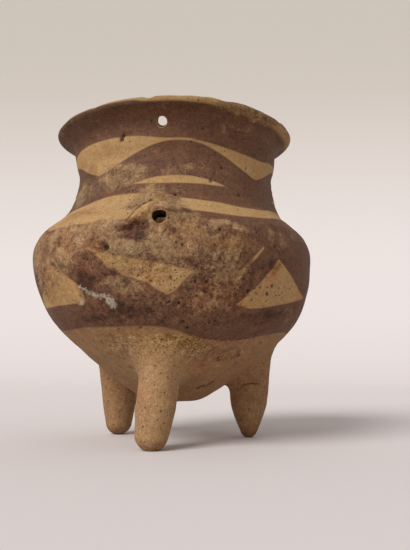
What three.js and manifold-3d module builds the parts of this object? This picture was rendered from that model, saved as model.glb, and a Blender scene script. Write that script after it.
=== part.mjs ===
// Terracotta tripod vase, a hand-built vessel on three solid legs.
// Millimetres, +Z up, floor at Z = 0. The vessel's axis is X = Y = 0 and its pierced side faces -Y.
import * as THREE from "three";
import * as BufferGeometryUtils from "three/addons/utils/BufferGeometryUtils.js";
import Module from "manifold-3d";

const wasm = await Module();
wasm.setup();
const { Manifold } = wasm;

// Wall of the vessel, and the gap that every seam keeps
const HEIGHT = 156;
const WALL = 5.6;
const RIM_WALL = 4;
const SEAM = 0.3;
const LAP_RISE = 2.4;

// Outer face from the base to the lip, as radii at heights, at a drop below the neck's base or at
// drops below the top
const BASE_UNDERSIDE = 20.5;
const BASE_RADIUS = 16;
const BASE_RISE = 1;
const LOWER_WALL_RADIUS = 46.5;
const LOWER_WALL_HEIGHT = 44;
const GIRDLE_RADIUS = 63.8;
const GIRDLE_HEIGHT = 62;
const BELLY_RADIUS = 70.8;
const BELLY_HEIGHT = 85;
const SHOULDER_RADIUS = 68.4;
const SHOULDER_DROP = 13;
const NECK_BASE_RADIUS = 55.7;
const NECK_BASE_HEIGHT = 112;
const NECK_RADIUS = 50.6;
const NECK_DROP = 25;
const FLARE_RADIUS = 53.4;
const FLARE_DROP = 8.5;
const LIP_RADIUS = 61.5;
const LIP_SLOPE = 48;

// Legs, by the direction they stand in from the front, positive to the viewer's right
const FRONT_LEG_DIRECTION = -8.7;
const LEG_PITCH = 120;
const FOOT_CIRCLE_RADIUS = 41.6;
const SHIN_HEIGHT = 16;
const FOOT_WEAR = 0.5;
const FRONT_TIP_RADIUS = 7.6;
const FRONT_SHIN_RADIUS = 8.8;
const FRONT_ROOT_RADIUS = 10;
const RIGHT_TIP_RADIUS = 4.6;
const RIGHT_SHIN_RADIUS = 9;
const RIGHT_ROOT_RADIUS = 12.6;
const LEFT_TIP_RADIUS = 6.6;
const LEFT_SHIN_RADIUS = 8.6;
const LEFT_ROOT_RADIUS = 12.4;
const COLLAR_WIDTH = 6.5;
const COLLAR_DROP = 8;
const COLLAR_EDGE = 0.9;

// Drilled hole below the lip, its axis rising inward
const RIM_HOLE_RADIUS = 2.2;
const RIM_HOLE_DIRECTION = -0.9;
const RIM_HOLE_DROP = 9.3;
const RIM_HOLE_SLOPE = 21;

// Pierced boss on the shoulder, its hole level
const LUG_WIDTH = 27;
const LUG_TALL = 19;
const LUG_PROUD = 3.4;
const LUG_RISE = 2.5;
const LUG_HOLE_RADIUS = 2.9;
const LUG_HOLE_DIRECTION = 0.9;
const LUG_HOLE_DROP = 0.5;

// Facets of the round shapes
const VESSEL_SIDES = 60;
const LEG_SIDES = 24;
const HOLE_SIDES = 20;
const PROFILE_STEP = 6.5;
const ARC_STEPS = 5;

const PAINTED = { colour: 0x5e4334, roughness: 0.8 };
const BUFF = { colour: 0xa98a63, roughness: 0.85 };
const BARE = { colour: 0x8a6848, roughness: 0.95 };

// Wall pieces from the bottom up. The seam on top of each is at a share of the outer face's length
const COILS = [
  { name: "base_bowl", seam: 0.25, clay: BARE },
  { name: "lower_wall_coil", seam: 0.415, clay: BARE },
  { name: "belly_coil", seam: 0.545, clay: PAINTED },
  { name: "shoulder_coil", seam: 0.705, clay: PAINTED },
  { name: "neck_base_coil", seam: 0.8, clay: BUFF },
  { name: "neck_coil", seam: 0.89, clay: PAINTED },
  { name: "rim_coil", seam: 0.976, clay: PAINTED },
  { name: "lip_coil", clay: BUFF },
];

// The legs in their order round the vessel, and the angles by which their roots lean in and aside
const LEGS = [
  {
    name: "front_leg",
    tip: FRONT_TIP_RADIUS,
    shin: FRONT_SHIN_RADIUS,
    root: FRONT_ROOT_RADIUS,
    leanIn: 5,
    leanSide: 5,
  },
  {
    name: "right_leg",
    tip: RIGHT_TIP_RADIUS,
    shin: RIGHT_SHIN_RADIUS,
    root: RIGHT_ROOT_RADIUS,
    leanIn: 1,
    leanSide: 0,
  },
  {
    name: "left_leg",
    tip: LEFT_TIP_RADIUS,
    shin: LEFT_SHIN_RADIUS,
    root: LEFT_ROOT_RADIUS,
    leanIn: 0,
    leanSide: 0,
  },
];

const radians = THREE.MathUtils.degToRad;
const shoulderHeight = NECK_BASE_HEIGHT - SHOULDER_DROP;

function toManifold(geometry) {
  const plain = geometry.clone();
  plain.deleteAttribute("normal");
  plain.deleteAttribute("uv");
  const merged = BufferGeometryUtils.mergeVertices(plain, 1e-4);
  const mesh = new wasm.Mesh({
    numProp: 3,
    vertProperties: new Float32Array(merged.attributes.position.array),
    triVerts: new Uint32Array(merged.index.array),
  });
  return new Manifold(mesh);
}

function toGeometry(solid) {
  const mesh = solid.getMesh();
  const indexed = new THREE.BufferGeometry();
  indexed.setAttribute("position", new THREE.BufferAttribute(mesh.vertProperties, 3));
  indexed.setIndex(new THREE.BufferAttribute(mesh.triVerts, 1));
  return BufferGeometryUtils.toCreasedNormals(indexed, radians(35));
}

function toMesh(name, solid, clay) {
  const material = new THREE.MeshStandardMaterial({
    color: clay.colour,
    roughness: clay.roughness,
    metalness: 0,
  });
  const mesh = new THREE.Mesh(toGeometry(solid), material);
  mesh.name = name;
  return mesh;
}

// Turns an outline of (radius, height) points round +Z
function lathe(outline, sides) {
  const geometry = new THREE.LatheGeometry(outline, sides);
  geometry.rotateX(Math.PI / 2);
  return toManifold(geometry);
}

// The middle of the lip's round edge, and the end of the outer face below it
const lipMiddle = new THREE.Vector2(LIP_RADIUS - RIM_WALL / 2, HEIGHT - RIM_WALL / 2);
const lipSlope = radians(LIP_SLOPE);
const faceEnd = new THREE.Vector2(
  lipMiddle.x + (RIM_WALL / 2) * Math.cos(lipSlope),
  lipMiddle.y - (RIM_WALL / 2) * Math.sin(lipSlope),
);

const outerFace = new THREE.SplineCurve([
  new THREE.Vector2(0, BASE_UNDERSIDE),
  new THREE.Vector2(BASE_RADIUS, BASE_UNDERSIDE + BASE_RISE),
  new THREE.Vector2(LOWER_WALL_RADIUS, LOWER_WALL_HEIGHT),
  new THREE.Vector2(GIRDLE_RADIUS, GIRDLE_HEIGHT),
  new THREE.Vector2(BELLY_RADIUS, BELLY_HEIGHT),
  new THREE.Vector2(SHOULDER_RADIUS, shoulderHeight),
  new THREE.Vector2(NECK_BASE_RADIUS, NECK_BASE_HEIGHT),
  new THREE.Vector2(NECK_RADIUS, HEIGHT - NECK_DROP),
  new THREE.Vector2(FLARE_RADIUS, HEIGHT - FLARE_DROP),
  faceEnd,
]);
const faceLength = outerFace.getLength();

// Finds where a measure that grows along the outer face reaches a value, as a share of its length
function shareAt(measure, value) {
  let low = 0;
  let high = 1;
  for (let i = 0; i < 40; i += 1) {
    const middle = (low + high) / 2;
    if (measure(outerFace.getPointAt(middle)) < value) {
      low = middle;
    } else {
      high = middle;
    }
  }
  return (low + high) / 2;
}

const shareAtHeight = (height) => shareAt((point) => point.y, height);

// Height of the bowl's outer face at a radius below the belly
function bowlHeight(radius) {
  return outerFace.getPointAt(shareAt((point) => (point.y > BELLY_HEIGHT ? Infinity : point.x), radius)).y;
}

// The wall thins evenly from the foot of the neck to the rim
function wallThickness(share) {
  const neck = shareAtHeight(NECK_BASE_HEIGHT);
  const thinned = THREE.MathUtils.clamp((share - neck) / (1 - neck), 0, 1);
  return THREE.MathUtils.lerp(WALL, RIM_WALL, thinned);
}

// A point inside the wall, at a distance along the outer face and a depth square to it
function wallPoint(share, depth) {
  const point = outerFace.getPointAt(THREE.MathUtils.clamp(share, 0, 1));
  const along = outerFace.getTangentAt(THREE.MathUtils.clamp(share, 0, 1));
  point.x = Math.max(point.x - along.y * depth, 0);
  point.y += along.x * depth;
  return point;
}

function facePoints(from, to, depthAt) {
  const steps = Math.max(1, Math.round((Math.abs(to - from) * faceLength) / PROFILE_STEP));
  const points = [];
  for (let i = 0; i <= steps; i += 1) {
    const share = from + ((to - from) * i) / steps;
    points.push(wallPoint(share, depthAt(share)));
  }
  return points;
}

// Where a wall piece starts and ends on the outer face, half a seam clear of its neighbours
function coilSpan(index) {
  const halfGap = (SEAM / 2 / faceLength) * Math.hypot(1, LAP_RISE / WALL);
  const lowest = index === 0;
  const highest = index === COILS.length - 1;
  return {
    lowest,
    highest,
    bottom: lowest ? 0 : COILS[index - 1].seam + halfGap,
    top: highest ? 1 : COILS[index].seam - halfGap,
  };
}

// The vessel's outer form with its inside filled, grown by a gap, for seating what is added to it
function filledVessel(gap) {
  const outline = COILS.flatMap((_, index) => {
    const { bottom, top } = coilSpan(index);
    return facePoints(bottom, top, () => -gap);
  });
  outline[0].x = 0;
  outline.push(new THREE.Vector2(0, outline.at(-1).y));
  return lathe(outline, VESSEL_SIDES);
}

// One piece of the wall. The seams rise inward, so each piece sits in the slope of the last
function wallCoil(index) {
  const { lowest, highest, bottom, top } = coilSpan(index);
  const lap = LAP_RISE / faceLength;
  const outline = facePoints(bottom, top, () => 0);
  if (highest) {
    outline.push(...lipArc());
  }
  outline.push(...facePoints(highest ? 1 : top + lap, lowest ? 0 : bottom + lap, wallThickness));
  if (!lowest) {
    outline.push(outline[0].clone());
  }
  return lathe(outline, VESSEL_SIDES);
}

// Round edge of the mouth, from the outer face over to the inner one
function lipArc() {
  const along = outerFace.getTangentAt(1);
  const middle = wallPoint(1, RIM_WALL / 2);
  const points = [];
  for (let i = 1; i < ARC_STEPS; i += 1) {
    const turn = (Math.PI * i) / ARC_STEPS;
    const out = (RIM_WALL / 2) * Math.cos(turn);
    const up = (RIM_WALL / 2) * Math.sin(turn);
    points.push(new THREE.Vector2(
      middle.x + along.y * out + along.x * up,
      middle.y - along.x * out + along.y * up,
    ));
  }
  return points;
}

// A drill through the wall at a height and a direction, its axis rising inward by a slope
function wallDrill(radius, height, direction, slope) {
  const surface = outerFace.getPointAt(shareAtHeight(height)).x;
  return Manifold.cylinder(8 * WALL, radius, radius, HOLE_SIDES, true)
    .rotate([slope - 90, 0, 0])
    .translate([0, -surface, height])
    .rotate([0, 0, direction]);
}

// Radius of a leg at a distance above its tip, with a ball end that runs into a slow taper
function legRadius(leg, distance) {
  const ballTop = leg.tip * 0.75;
  const ball = Math.sqrt(Math.max(0, distance * (2 * leg.tip - distance)));
  if (distance <= ballTop) {
    return ball;
  }
  const ballEdge = Math.sqrt(ballTop * (2 * leg.tip - ballTop));
  if (distance <= SHIN_HEIGHT) {
    return THREE.MathUtils.mapLinear(distance, ballTop, SHIN_HEIGHT, ballEdge, leg.shin);
  }
  const top = bowlHeight(FOOT_CIRCLE_RADIUS) + leg.root;
  return THREE.MathUtils.mapLinear(distance, SHIN_HEIGHT, top, leg.shin, leg.root);
}

// Heights along a leg where its rings lie, closer together round the ball end
function legStations(leg) {
  const top = bowlHeight(FOOT_CIRCLE_RADIUS) + leg.root;
  const ball = [0.04, 0.14, 0.3, 0.5, 0.75].map((share) => share * leg.tip);
  return [...ball, SHIN_HEIGHT, (SHIN_HEIGHT + top) / 2, top];
}

// Places a leg's own frame, with its tip at the origin and +Z up the leg, on the foot circle
function legPlace(leg, direction) {
  const lean = new THREE.Matrix4().makeRotationY(radians(leg.leanSide))
    .multiply(new THREE.Matrix4().makeRotationX(radians(-leg.leanIn)));
  return new THREE.Matrix4().makeRotationZ(radians(direction))
    .multiply(new THREE.Matrix4().makeTranslation(0, -FOOT_CIRCLE_RADIUS, -FOOT_WEAR))
    .multiply(lean);
}

// A leg's full form, grown by a gap, before it is cut to the bowl and the floor
function legForm(leg, place, gap) {
  const outline = legStations(leg).map((distance) => (
    new THREE.Vector2(legRadius(leg, distance) + gap, distance)
  ));
  outline.unshift(new THREE.Vector2(0, 0));
  outline.push(new THREE.Vector2(0, outline.at(-1).y));
  return lathe(outline, LEG_SIDES).transform(place.elements);
}

// Distance up a leg's side at which it meets the bowl, in one direction round the leg
function rootDistance(leg, place, turn) {
  let low = 0;
  let high = legStations(leg).at(-1);
  for (let i = 0; i < 30; i += 1) {
    const middle = (low + high) / 2;
    const point = legSide(leg, place, turn, middle, 0);
    if (point.z < bowlHeight(Math.hypot(point.x, point.y))) {
      low = middle;
    } else {
      high = middle;
    }
  }
  return low;
}

function legSide(leg, place, turn, distance, proud) {
  const radius = legRadius(leg, distance) + proud;
  return new THREE.Vector3(radius * Math.cos(turn), radius * Math.sin(turn), distance).applyMatrix4(place);
}

// The hollow curve of a collar in one direction round the leg, from the leg out to the bowl
function collarCurve(leg, place, turn) {
  const root = rootDistance(leg, place, turn);
  const start = legSide(leg, place, turn, root - COLLAR_DROP, COLLAR_EDGE);
  const bend = legSide(leg, place, turn, root - COLLAR_DROP / 4, COLLAR_EDGE);
  const end = legSide(leg, place, turn, root, COLLAR_WIDTH);
  end.z = bowlHeight(Math.hypot(end.x, end.y)) - COLLAR_EDGE;
  return new THREE.QuadraticBezierCurve3(start, bend, end).getPoints(ARC_STEPS);
}

// A closed form through rings of points, with a cap to the middle of the first and last ring
function loft(rings) {
  const sides = rings[0].length;
  const middleOf = (ring) => ring.reduce((sum, point) => sum.add(point), new THREE.Vector3())
    .divideScalar(sides);
  const points = [middleOf(rings[0]), ...rings.flat(), middleOf(rings.at(-1))];
  const last = points.length - 1;
  const triangles = [];
  for (let side = 0; side < sides; side += 1) {
    const next = (side + 1) % sides;
    triangles.push(0, 1 + next, 1 + side);
    for (let row = 0; row < rings.length - 1; row += 1) {
      const low = 1 + row * sides;
      const high = low + sides;
      triangles.push(low + side, low + next, high + next, low + side, high + next, high + side);
    }
    triangles.push(last, last - sides + side, last - sides + next);
  }
  return new Manifold(new wasm.Mesh({
    numProp: 3,
    vertProperties: new Float32Array(points.flatMap((point) => point.toArray())),
    triVerts: new Uint32Array(triangles),
  }));
}

// Clay smeared round the root of a leg, seated on the leg and on the bowl
function legCollar(leg, place) {
  const curves = [];
  for (let side = 0; side < LEG_SIDES; side += 1) {
    curves.push(collarCurve(leg, place, (2 * Math.PI * side) / LEG_SIDES));
  }
  const rings = curves[0].map((_, step) => curves.map((curve) => curve[step]));
  return loft(rings)
    .subtract(legForm(leg, place, SEAM))
    .subtract(filledVessel(SEAM));
}

// Pierced boss, a low lens of clay set square on the slope of the shoulder
function shoulderLug() {
  const share = shareAtHeight(shoulderHeight + LUG_RISE);
  const along = outerFace.getTangentAt(share);
  const depth = LUG_PROUD;
  const middle = wallPoint(share, depth);
  const spread = 1 / Math.sqrt(1 - (depth / (depth + LUG_PROUD)) ** 2);
  const lens = new THREE.SphereGeometry(1, LEG_SIDES, LEG_SIDES / 2);
  lens.scale((LUG_WIDTH / 2) * spread, depth + LUG_PROUD, (LUG_TALL / 2) * spread);
  lens.rotateX(Math.atan2(along.x, along.y));
  lens.translate(0, -middle.x, middle.y);
  return toManifold(lens).subtract(filledVessel(SEAM));
}

const rimHoleHeight = HEIGHT - RIM_HOLE_DROP;
const lugHoleHeight = shoulderHeight - LUG_HOLE_DROP;
const rimDrill = wallDrill(RIM_HOLE_RADIUS, rimHoleHeight, RIM_HOLE_DIRECTION, RIM_HOLE_SLOPE);
const lugDrill = wallDrill(LUG_HOLE_RADIUS, lugHoleHeight, LUG_HOLE_DIRECTION, 0);
const vase = new THREE.Group();
vase.name = "tripod_vase";

COILS.forEach(({ name, clay }, index) => {
  const solid = wallCoil(index).subtract(rimDrill).subtract(lugDrill);
  vase.add(toMesh(name, solid, clay));
});

vase.add(toMesh("shoulder_lug", shoulderLug().subtract(lugDrill), PAINTED));

LEGS.forEach((leg, index) => {
  const place = legPlace(leg, FRONT_LEG_DIRECTION + index * LEG_PITCH);
  const solid = legForm(leg, place, 0)
    .subtract(filledVessel(SEAM))
    .trimByPlane([0, 0, 1], 0);
  vase.add(toMesh(leg.name, solid, BARE));
  vase.add(toMesh(`${leg.name}_collar`, legCollar(leg, place), BARE));
});

export default vase;
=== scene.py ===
"""Terracotta tripod vase: its fired clay, painted pattern and wear, and the photograph's camera and light.

Shapes are worked out in millimetres, in the CAD model's own frame: +Z up, the vessel's axis at
X = Y = 0 and its pierced side towards -Y. An azimuth is in degrees from that side, positive to the
viewer's right.
"""

import bpy
import numpy as np
from mathutils import Matrix


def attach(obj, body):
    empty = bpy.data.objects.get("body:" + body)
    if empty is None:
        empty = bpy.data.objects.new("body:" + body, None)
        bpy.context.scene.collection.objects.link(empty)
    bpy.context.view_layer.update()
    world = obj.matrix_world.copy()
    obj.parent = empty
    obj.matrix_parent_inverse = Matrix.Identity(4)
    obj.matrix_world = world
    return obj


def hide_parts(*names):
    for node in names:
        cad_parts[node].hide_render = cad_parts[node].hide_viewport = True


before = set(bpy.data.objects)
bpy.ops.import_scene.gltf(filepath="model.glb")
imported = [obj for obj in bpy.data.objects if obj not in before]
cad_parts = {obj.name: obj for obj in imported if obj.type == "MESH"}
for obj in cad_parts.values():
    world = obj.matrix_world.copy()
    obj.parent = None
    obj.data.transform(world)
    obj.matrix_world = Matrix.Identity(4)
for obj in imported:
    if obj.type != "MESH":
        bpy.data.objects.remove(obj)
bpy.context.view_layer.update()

MM = 0.001
SEED = 7

# Outer face of the wall from the base to the lip, as (radius, height)
FACE = [
    (0, 20.5),
    (16, 21.5),
    (46.5, 44),
    (63.8, 62),
    (70.8, 85),
    (68.4, 99),
    (55.7, 112),
    (50.6, 131),
    (53.4, 147.5),
    (60.84, 152.51),
]
WALL = 5.6
RIM_WALL = 4.0
NECK_BASE_HEIGHT = 112
BELLY_HEIGHT = 85

# Wall pieces from the bottom up, with the share of the face at which each ends
COILS = {
    "base_bowl": 0.25,
    "lower_wall_coil": 0.415,
    "belly_coil": 0.545,
    "shoulder_coil": 0.705,
    "neck_base_coil": 0.8,
    "neck_coil": 0.89,
    "rim_coil": 0.976,
    "lip_coil": 1.0,
}
LAP_RISE = 2.4

# Spacing of the grids of the wall and the legs
COLUMNS = 640
ROW = 0.7
INNER_ROW = 1.6
LEG_COLUMNS = 112

# Holes on the front: azimuth, height of the axis at the face, radius and rise of the axis inward
RIM_HOLE = {"azimuth": -0.9, "height": 146.8, "radius": 2.3, "slope": 21}
LUG_HOLE = {"azimuth": 1.1, "height": 98.0, "radius": 2.9, "slope": 0}

# Legs: direction, radii at the tip, shin and root, lean of the root inward and aside in degrees, how
# far below the root the collar starts, and share of tan clay, set higher on the front leg and lower on
# the right leg as painted light and shade
SHIN_HEIGHT = 16
FOOT_CIRCLE_RADIUS = 41.6
FOOT_WEAR = 0.5
COLLAR_WIDTH = 8
LEGS = {
    "front_leg": {"direction": -8.7, "tip": 7.6, "shin": 8.8, "root": 10, "lean_in": 5, "lean_side": 5,
                  "collar": 9, "tan": 0.85},
    "right_leg": {"direction": 111.3, "tip": 4.6, "shin": 9, "root": 12.6, "lean_in": 1, "lean_side": 0,
                  "collar": 9, "tan": 0.35},
    "left_leg": {"direction": 231.3, "tip": 7.2, "shin": 8.8, "root": 13.4, "lean_in": -2, "lean_side": 0,
                 "collar": 15, "tan": 0.5},
}

# Pieces of each material slot
SLOTS = {
    "painted_slip": ["belly_coil", "shoulder_coil", "shoulder_lug", "neck_coil", "rim_coil"],
    "buff_slip": ["neck_base_coil", "lip_coil"],
    "bare_clay": ["base_bowl", "lower_wall_coil", *LEGS, *(leg + "_collar" for leg in LEGS)],
}


# Curves and noise

TINY = 1e-12
HASH_FACTORS = (73856093, 19349663, 83492791)
SEED_FACTOR = 2654435761
HASH_MIXER = 1274126177
LAYER_SEED_STEP = 17
LAYER_STRENGTH = 0.55


def spline(points, steps=40):
    """A smooth line through points, with steps pieces between each pair."""
    p = np.array(points, float)
    p = np.vstack([p[:1], p, p[-1:]])
    t = np.linspace(0, 1, steps, endpoint=False)[:, None]
    line = []
    for a, b, c, d in zip(p, p[1:], p[2:], p[3:]):
        squared = (2 * a - 5 * b + 4 * c - d) * t**2
        cubed = (3 * b - a - 3 * c + d) * t**3
        line.append(0.5 * (2 * b + (c - a) * t + squared + cubed))
    line.append(p[-1:])
    return np.vstack(line)


def around(points, azimuth):
    """A value that varies smoothly round the vessel, from (azimuth, value) points."""
    points = sorted(points)
    first = [(a + 360, v) for a, v in points[:3]]
    last = [(a - 360, v) for a, v in points[-3:]]
    curve = spline(last + points + first, steps=12)
    wrapped = (azimuth - points[0][0]) % 360 + points[0][0]
    return np.interp(wrapped, curve[:, 0], curve[:, 1])


def turn_from(middle, azimuth):
    """Degrees from one azimuth to others, from -180 to 180."""
    return (azimuth - middle + 180) % 360 - 180


def smoothstep(low, high, x):
    """0 at low and 1 at high, smoothly; low may be the larger."""
    t = np.clip((x - low) / (high - low), 0, 1)
    return t * t * (3 - 2 * t)


def window(rise, fall, x):
    """1 between two soft edges, each given as the places of its 0 and its 1."""
    return smoothstep(*rise, x) * smoothstep(*fall, x)


def unit(vectors):
    return vectors / np.maximum(np.linalg.norm(vectors, axis=-1), TINY)[..., None]


def noise(points, cell, seed=0):
    """Smooth noise from -1 to 1 at points of shape (..., 3), with features about one cell wide."""
    q = points / cell
    base = np.floor(q).astype(np.int64)
    f = q - base
    f = f * f * f * (f * (6 * f - 15) + 10)
    total = 0
    for corner in np.ndindex(2, 2, 2):
        x, y, z = np.moveaxis((base + corner) * HASH_FACTORS, -1, 0)
        h = x ^ y ^ z ^ ((seed + SEED) * SEED_FACTOR)
        h = ((h ^ (h >> 13)) * HASH_MIXER) & 0xFFFFFFFF
        value = ((h ^ (h >> 16)) & 0xFFFF) / 32767.5 - 1
        total = total + value * np.prod(np.where(corner, f, 1 - f), axis=-1)
    return total


def layered(points, cell, seed=0, layers=3):
    """Noise with finer and fainter copies of itself on top."""
    return sum(
        noise(points, cell / 2**i, seed + LAYER_SEED_STEP * i) * LAYER_STRENGTH**i for i in range(layers)
    )


# The wall's face, measured along its own length

face_line = spline(FACE)
face_steps = np.hypot(*np.diff(face_line, axis=0).T)
face_along = np.concatenate([[0], np.cumsum(face_steps)])
FACE_LENGTH = face_along[-1]
face_tangent = unit(np.gradient(face_line, face_along, axis=0))


def face_at(u):
    """Radius, height and outward normal (radial, upward) at a length u along the face."""
    radius, height, along_r, along_z = (
        np.interp(u, face_along, column) for column in (*face_line.T, *face_tangent.T)
    )
    length = np.hypot(along_r, along_z)
    return radius, height, along_z / length, -along_r / length


def along_at_height(height):
    return np.interp(height, face_line[:, 1], face_along)


def bowl_height(radius):
    below = face_line[:, 1] <= BELLY_HEIGHT
    return np.interp(radius, face_line[below, 0], face_line[below, 1])


def wall_thickness(u):
    neck = along_at_height(NECK_BASE_HEIGHT)
    return WALL + (RIM_WALL - WALL) * np.clip((u - neck) / (FACE_LENGTH - neck), 0, 1)


def polar(radius, azimuth, height):
    """Points by their distance from the vessel's axis, azimuth and height."""
    a = np.radians(azimuth)
    return np.stack([radius * np.sin(a), -radius * np.cos(a), height + 0 * a], -1)


def on_face(u, azimuth, proud=0):
    """Points at a length along the face and an azimuth, raised off it by proud."""
    radius, height, out_r, out_z = face_at(u)
    return polar(radius + proud * out_r, azimuth, height + proud * out_z)


def axis_distance(points):
    return np.hypot(points[..., 0], points[..., 1])


def azimuth_of(points):
    return np.degrees(np.arctan2(points[..., 0], -points[..., 1]))


# The painted pattern. Its outlines are (azimuth, height) points

RIM_BAND_TOP = [
    (-120, 154), (-85, 154.4), (-60, 154.7), (-25, 154.7), (-13, 154.5), (-7, 153.2), (6, 153),
    (16, 152.8), (30, 152.2), (50, 151.8), (75, 151.6), (97, 152.1), (150, 153.4),
]
RIM_BAND_FOOT = [
    (-135, 139.2), (-84, 140.4), (-60, 142.6), (-30, 142.4), (-15, 141.4), (0, 139.7), (10, 139.8),
    (20, 138.6), (35, 137), (50, 136.4), (62, 136.8), (75, 139), (97, 140), (140, 137), (185, 139.9),
]
DOME_CUSPS = [-38, 54, 140, 231]
DOME_FOOT = 126
DOME_RISE = 12.9
DOME_FULLNESS = 1.4
LENS_FOOT = 118.2
LENS_RISE = 3.9
LENS_HALF_WIDTH = 25
STRIPE_TOP = [
    (-130, 110), (-65, 109.2), (-45, 110.2), (-30, 112.6), (-18, 113.3), (0, 112.5), (10, 110.3),
    (22, 109.2), (35, 108), (48, 108.8), (62, 111), (80, 112), (120, 110.5), (170, 111.5),
]
STRIPE_FOOT = [
    (-130, 102), (-65, 102.5), (-52, 99), (-35, 98.3), (-20, 97.6), (-8, 99), (3, 102), (12, 103),
    (25, 101.8), (38, 102), (50, 104), (65, 106.5), (90, 106), (130, 103.5), (180, 105),
]
GIRDLE_FOOT = [
    (-140, 53), (-60, 53.5), (-30, 53.8), (-5, 53.8), (5, 52.2), (12, 50.2), (22, 48.5), (32, 47.9),
    (42, 49), (55, 51.4), (75, 53), (110, 51.5), (160, 53),
]
TRIANGLES = [
    [(47.5, 83.8), (44, 78.8), (40, 73.6), (35, 68.2), (29.5, 62.6), (36, 61.6), (42, 62.2), (48, 63.4),
     (58, 65.2), (66, 67.4), (72.5, 69.4), (65.8, 71.8), (60.4, 74.6), (54.5, 78.7)],
    [(-48.5, 83), (-57, 76), (-64, 70), (-69, 64.4), (-55, 64.2), (-42, 64), (-31, 64.2), (-30.5, 70),
     (-34.5, 73.6), (-40, 78)],
]
WEDGE = [
    (-20.4, 84.6), (-14, 82.9), (-7, 81), (0, 79.2), (12.8, 76), (9.6, 72.6), (6.6, 68.4), (3, 66.4),
    (-1, 68.6), (-4, 71.4), (-8, 72.6), (-12, 74.2), (-16.5, 76.8), (-19.5, 80.4), (-22.5, 83.8),
]

# Strokes left bare, each with its start, end and half-width in millimetres
DIAGONALS = [
    ((39.5, 87.7), (33, 79.4), 0.55),
    ((33, 79.4), (28.4, 73), 1.0),
    # The last stroke is a painted highlight: a thin pale line along a ridge
    ((-29, 88.4), (-19.6, 83.9), 0.5),
]

# The first triangle and a stroke beside it again, round the back, by the azimuth of the tip
BACK_TIPS = [137, 224]
BACK_TRIANGLES = [[(a - TRIANGLES[0][0][0] + tip, h) for a, h in TRIANGLES[0]] for tip in BACK_TIPS]
BACK_DIAGONALS = [((tip - 8, 87), (tip - 19, 72), 0.9) for tip in BACK_TIPS]

# The slope up to the ridge of the boss, with no paint left on it, and kept pale as a painted highlight
FACET_AND_HIGHLIGHT = [
    (-9.8, 96.8), (-7.6, 100.2), (-5.4, 104.4), (-3.4, 107.6), (0.2, 107.4), (0.4, 104.4), (-0.9, 100.8),
    (-1.7, 97.2), (-6, 96.4),
]


def flat(azimuth, height, middle):
    """Positions on the face laid out flat round a middle point, in millimetres."""
    radius = face_at(along_at_height(middle[1]))[0]
    right = np.radians(turn_from(middle[0], azimuth)) * radius
    return np.stack([right, along_at_height(height) - along_at_height(middle[1])], -1)


def off_line(points, start, along):
    """Distance of points from the straight line that leads from start by along."""
    share = np.clip(((points - start) @ along) / (along @ along), 0, 1)
    return np.linalg.norm(points - start - share[..., None] * along, axis=-1)


def inside_outline(outline, azimuth, height):
    """Distance inside a closed outline of (azimuth, height) points, negative outside it."""
    outline = np.array(outline, float)
    middle = outline.mean(0)
    points = flat(azimuth, height, middle)
    corners = flat(outline[:, 0], outline[:, 1], middle)
    best = np.full(azimuth.shape, np.inf)
    inside = np.zeros(azimuth.shape, bool)
    for a, b in zip(corners, np.roll(corners, -1, axis=0)):
        along = b - a
        best = np.minimum(best, off_line(points, a, along))
        crosses = (a[1] > points[..., 1]) != (b[1] > points[..., 1])
        reach = a[0] + (points[..., 1] - a[1]) * along[0] / (along[1] if along[1] else TINY)
        inside ^= crosses & (points[..., 0] < reach)
    return np.where(inside, best, -best)


def inside_stroke(start, end, half_width, azimuth, height):
    """Distance inside a straight brush stroke between two (azimuth, height) points."""
    middle = (np.array(start, float) + end) / 2
    a, b = flat(np.array([start[0], end[0]]), np.array([start[1], end[1]]), middle)
    return half_width - off_line(flat(azimuth, height, middle), a, b - a)


def inside_strokes(strokes, azimuth, height):
    """Distance inside any of some strokes, each with its start, end and half-width."""
    return np.max([inside_stroke(*stroke, azimuth, height) for stroke in strokes], axis=0)


def bent_stroke(points, half_width):
    """A stroke through several points, as straight strokes that join."""
    return [(start, end, half_width) for start, end in zip(points, points[1:])]


def domes(azimuth):
    """Height of the scalloped top of the domes, and degrees from the nearest dome's middle."""
    top = np.full(azimuth.shape, float(DOME_FOOT))
    off = np.full(azimuth.shape, 180.0)
    for left, right in zip(DOME_CUSPS, DOME_CUSPS[1:] + [DOME_CUSPS[0] + 360]):
        turn = turn_from((left + right) / 2, azimuth)
        share = np.clip(np.abs(turn) / ((right - left) / 2), 0, 1)
        top = np.maximum(top, DOME_FOOT + DOME_RISE * np.cos(np.pi / 2 * share) ** DOME_FULLNESS)
        off = np.where(np.abs(turn) < np.abs(off), turn, off)
    return top, off


def painted(azimuth, height):
    """Millimetres inside the dark paint, and inside the buff slip below it, at points on the face."""
    band = np.minimum(around(RIM_BAND_TOP, azimuth) - height, height - around(RIM_BAND_FOOT, azimuth))
    top, off = domes(azimuth)
    dome = np.minimum(top - height, height - around(STRIPE_TOP, azimuth))
    lens_top = LENS_FOOT + LENS_RISE * (1 - (off / LENS_HALF_WIDTH) ** 2)
    dome = np.minimum(dome, -np.minimum(height - LENS_FOOT, lens_top - height))
    foot = around(GIRDLE_FOOT, azimuth)
    belly = np.minimum(around(STRIPE_FOOT, azimuth) - height, height - foot)
    for outline in [*TRIANGLES, *BACK_TRIANGLES, WEDGE]:
        belly = np.minimum(belly, -inside_outline(outline, azimuth, height))
    belly = np.minimum(belly, -inside_strokes(DIAGONALS + BACK_DIAGONALS, azimuth, height))
    dark = np.maximum(np.maximum(band, dome), belly)
    return np.minimum(dark, -inside_outline(FACET_AND_HIGHLIGHT, azimuth, height)), height - foot
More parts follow.
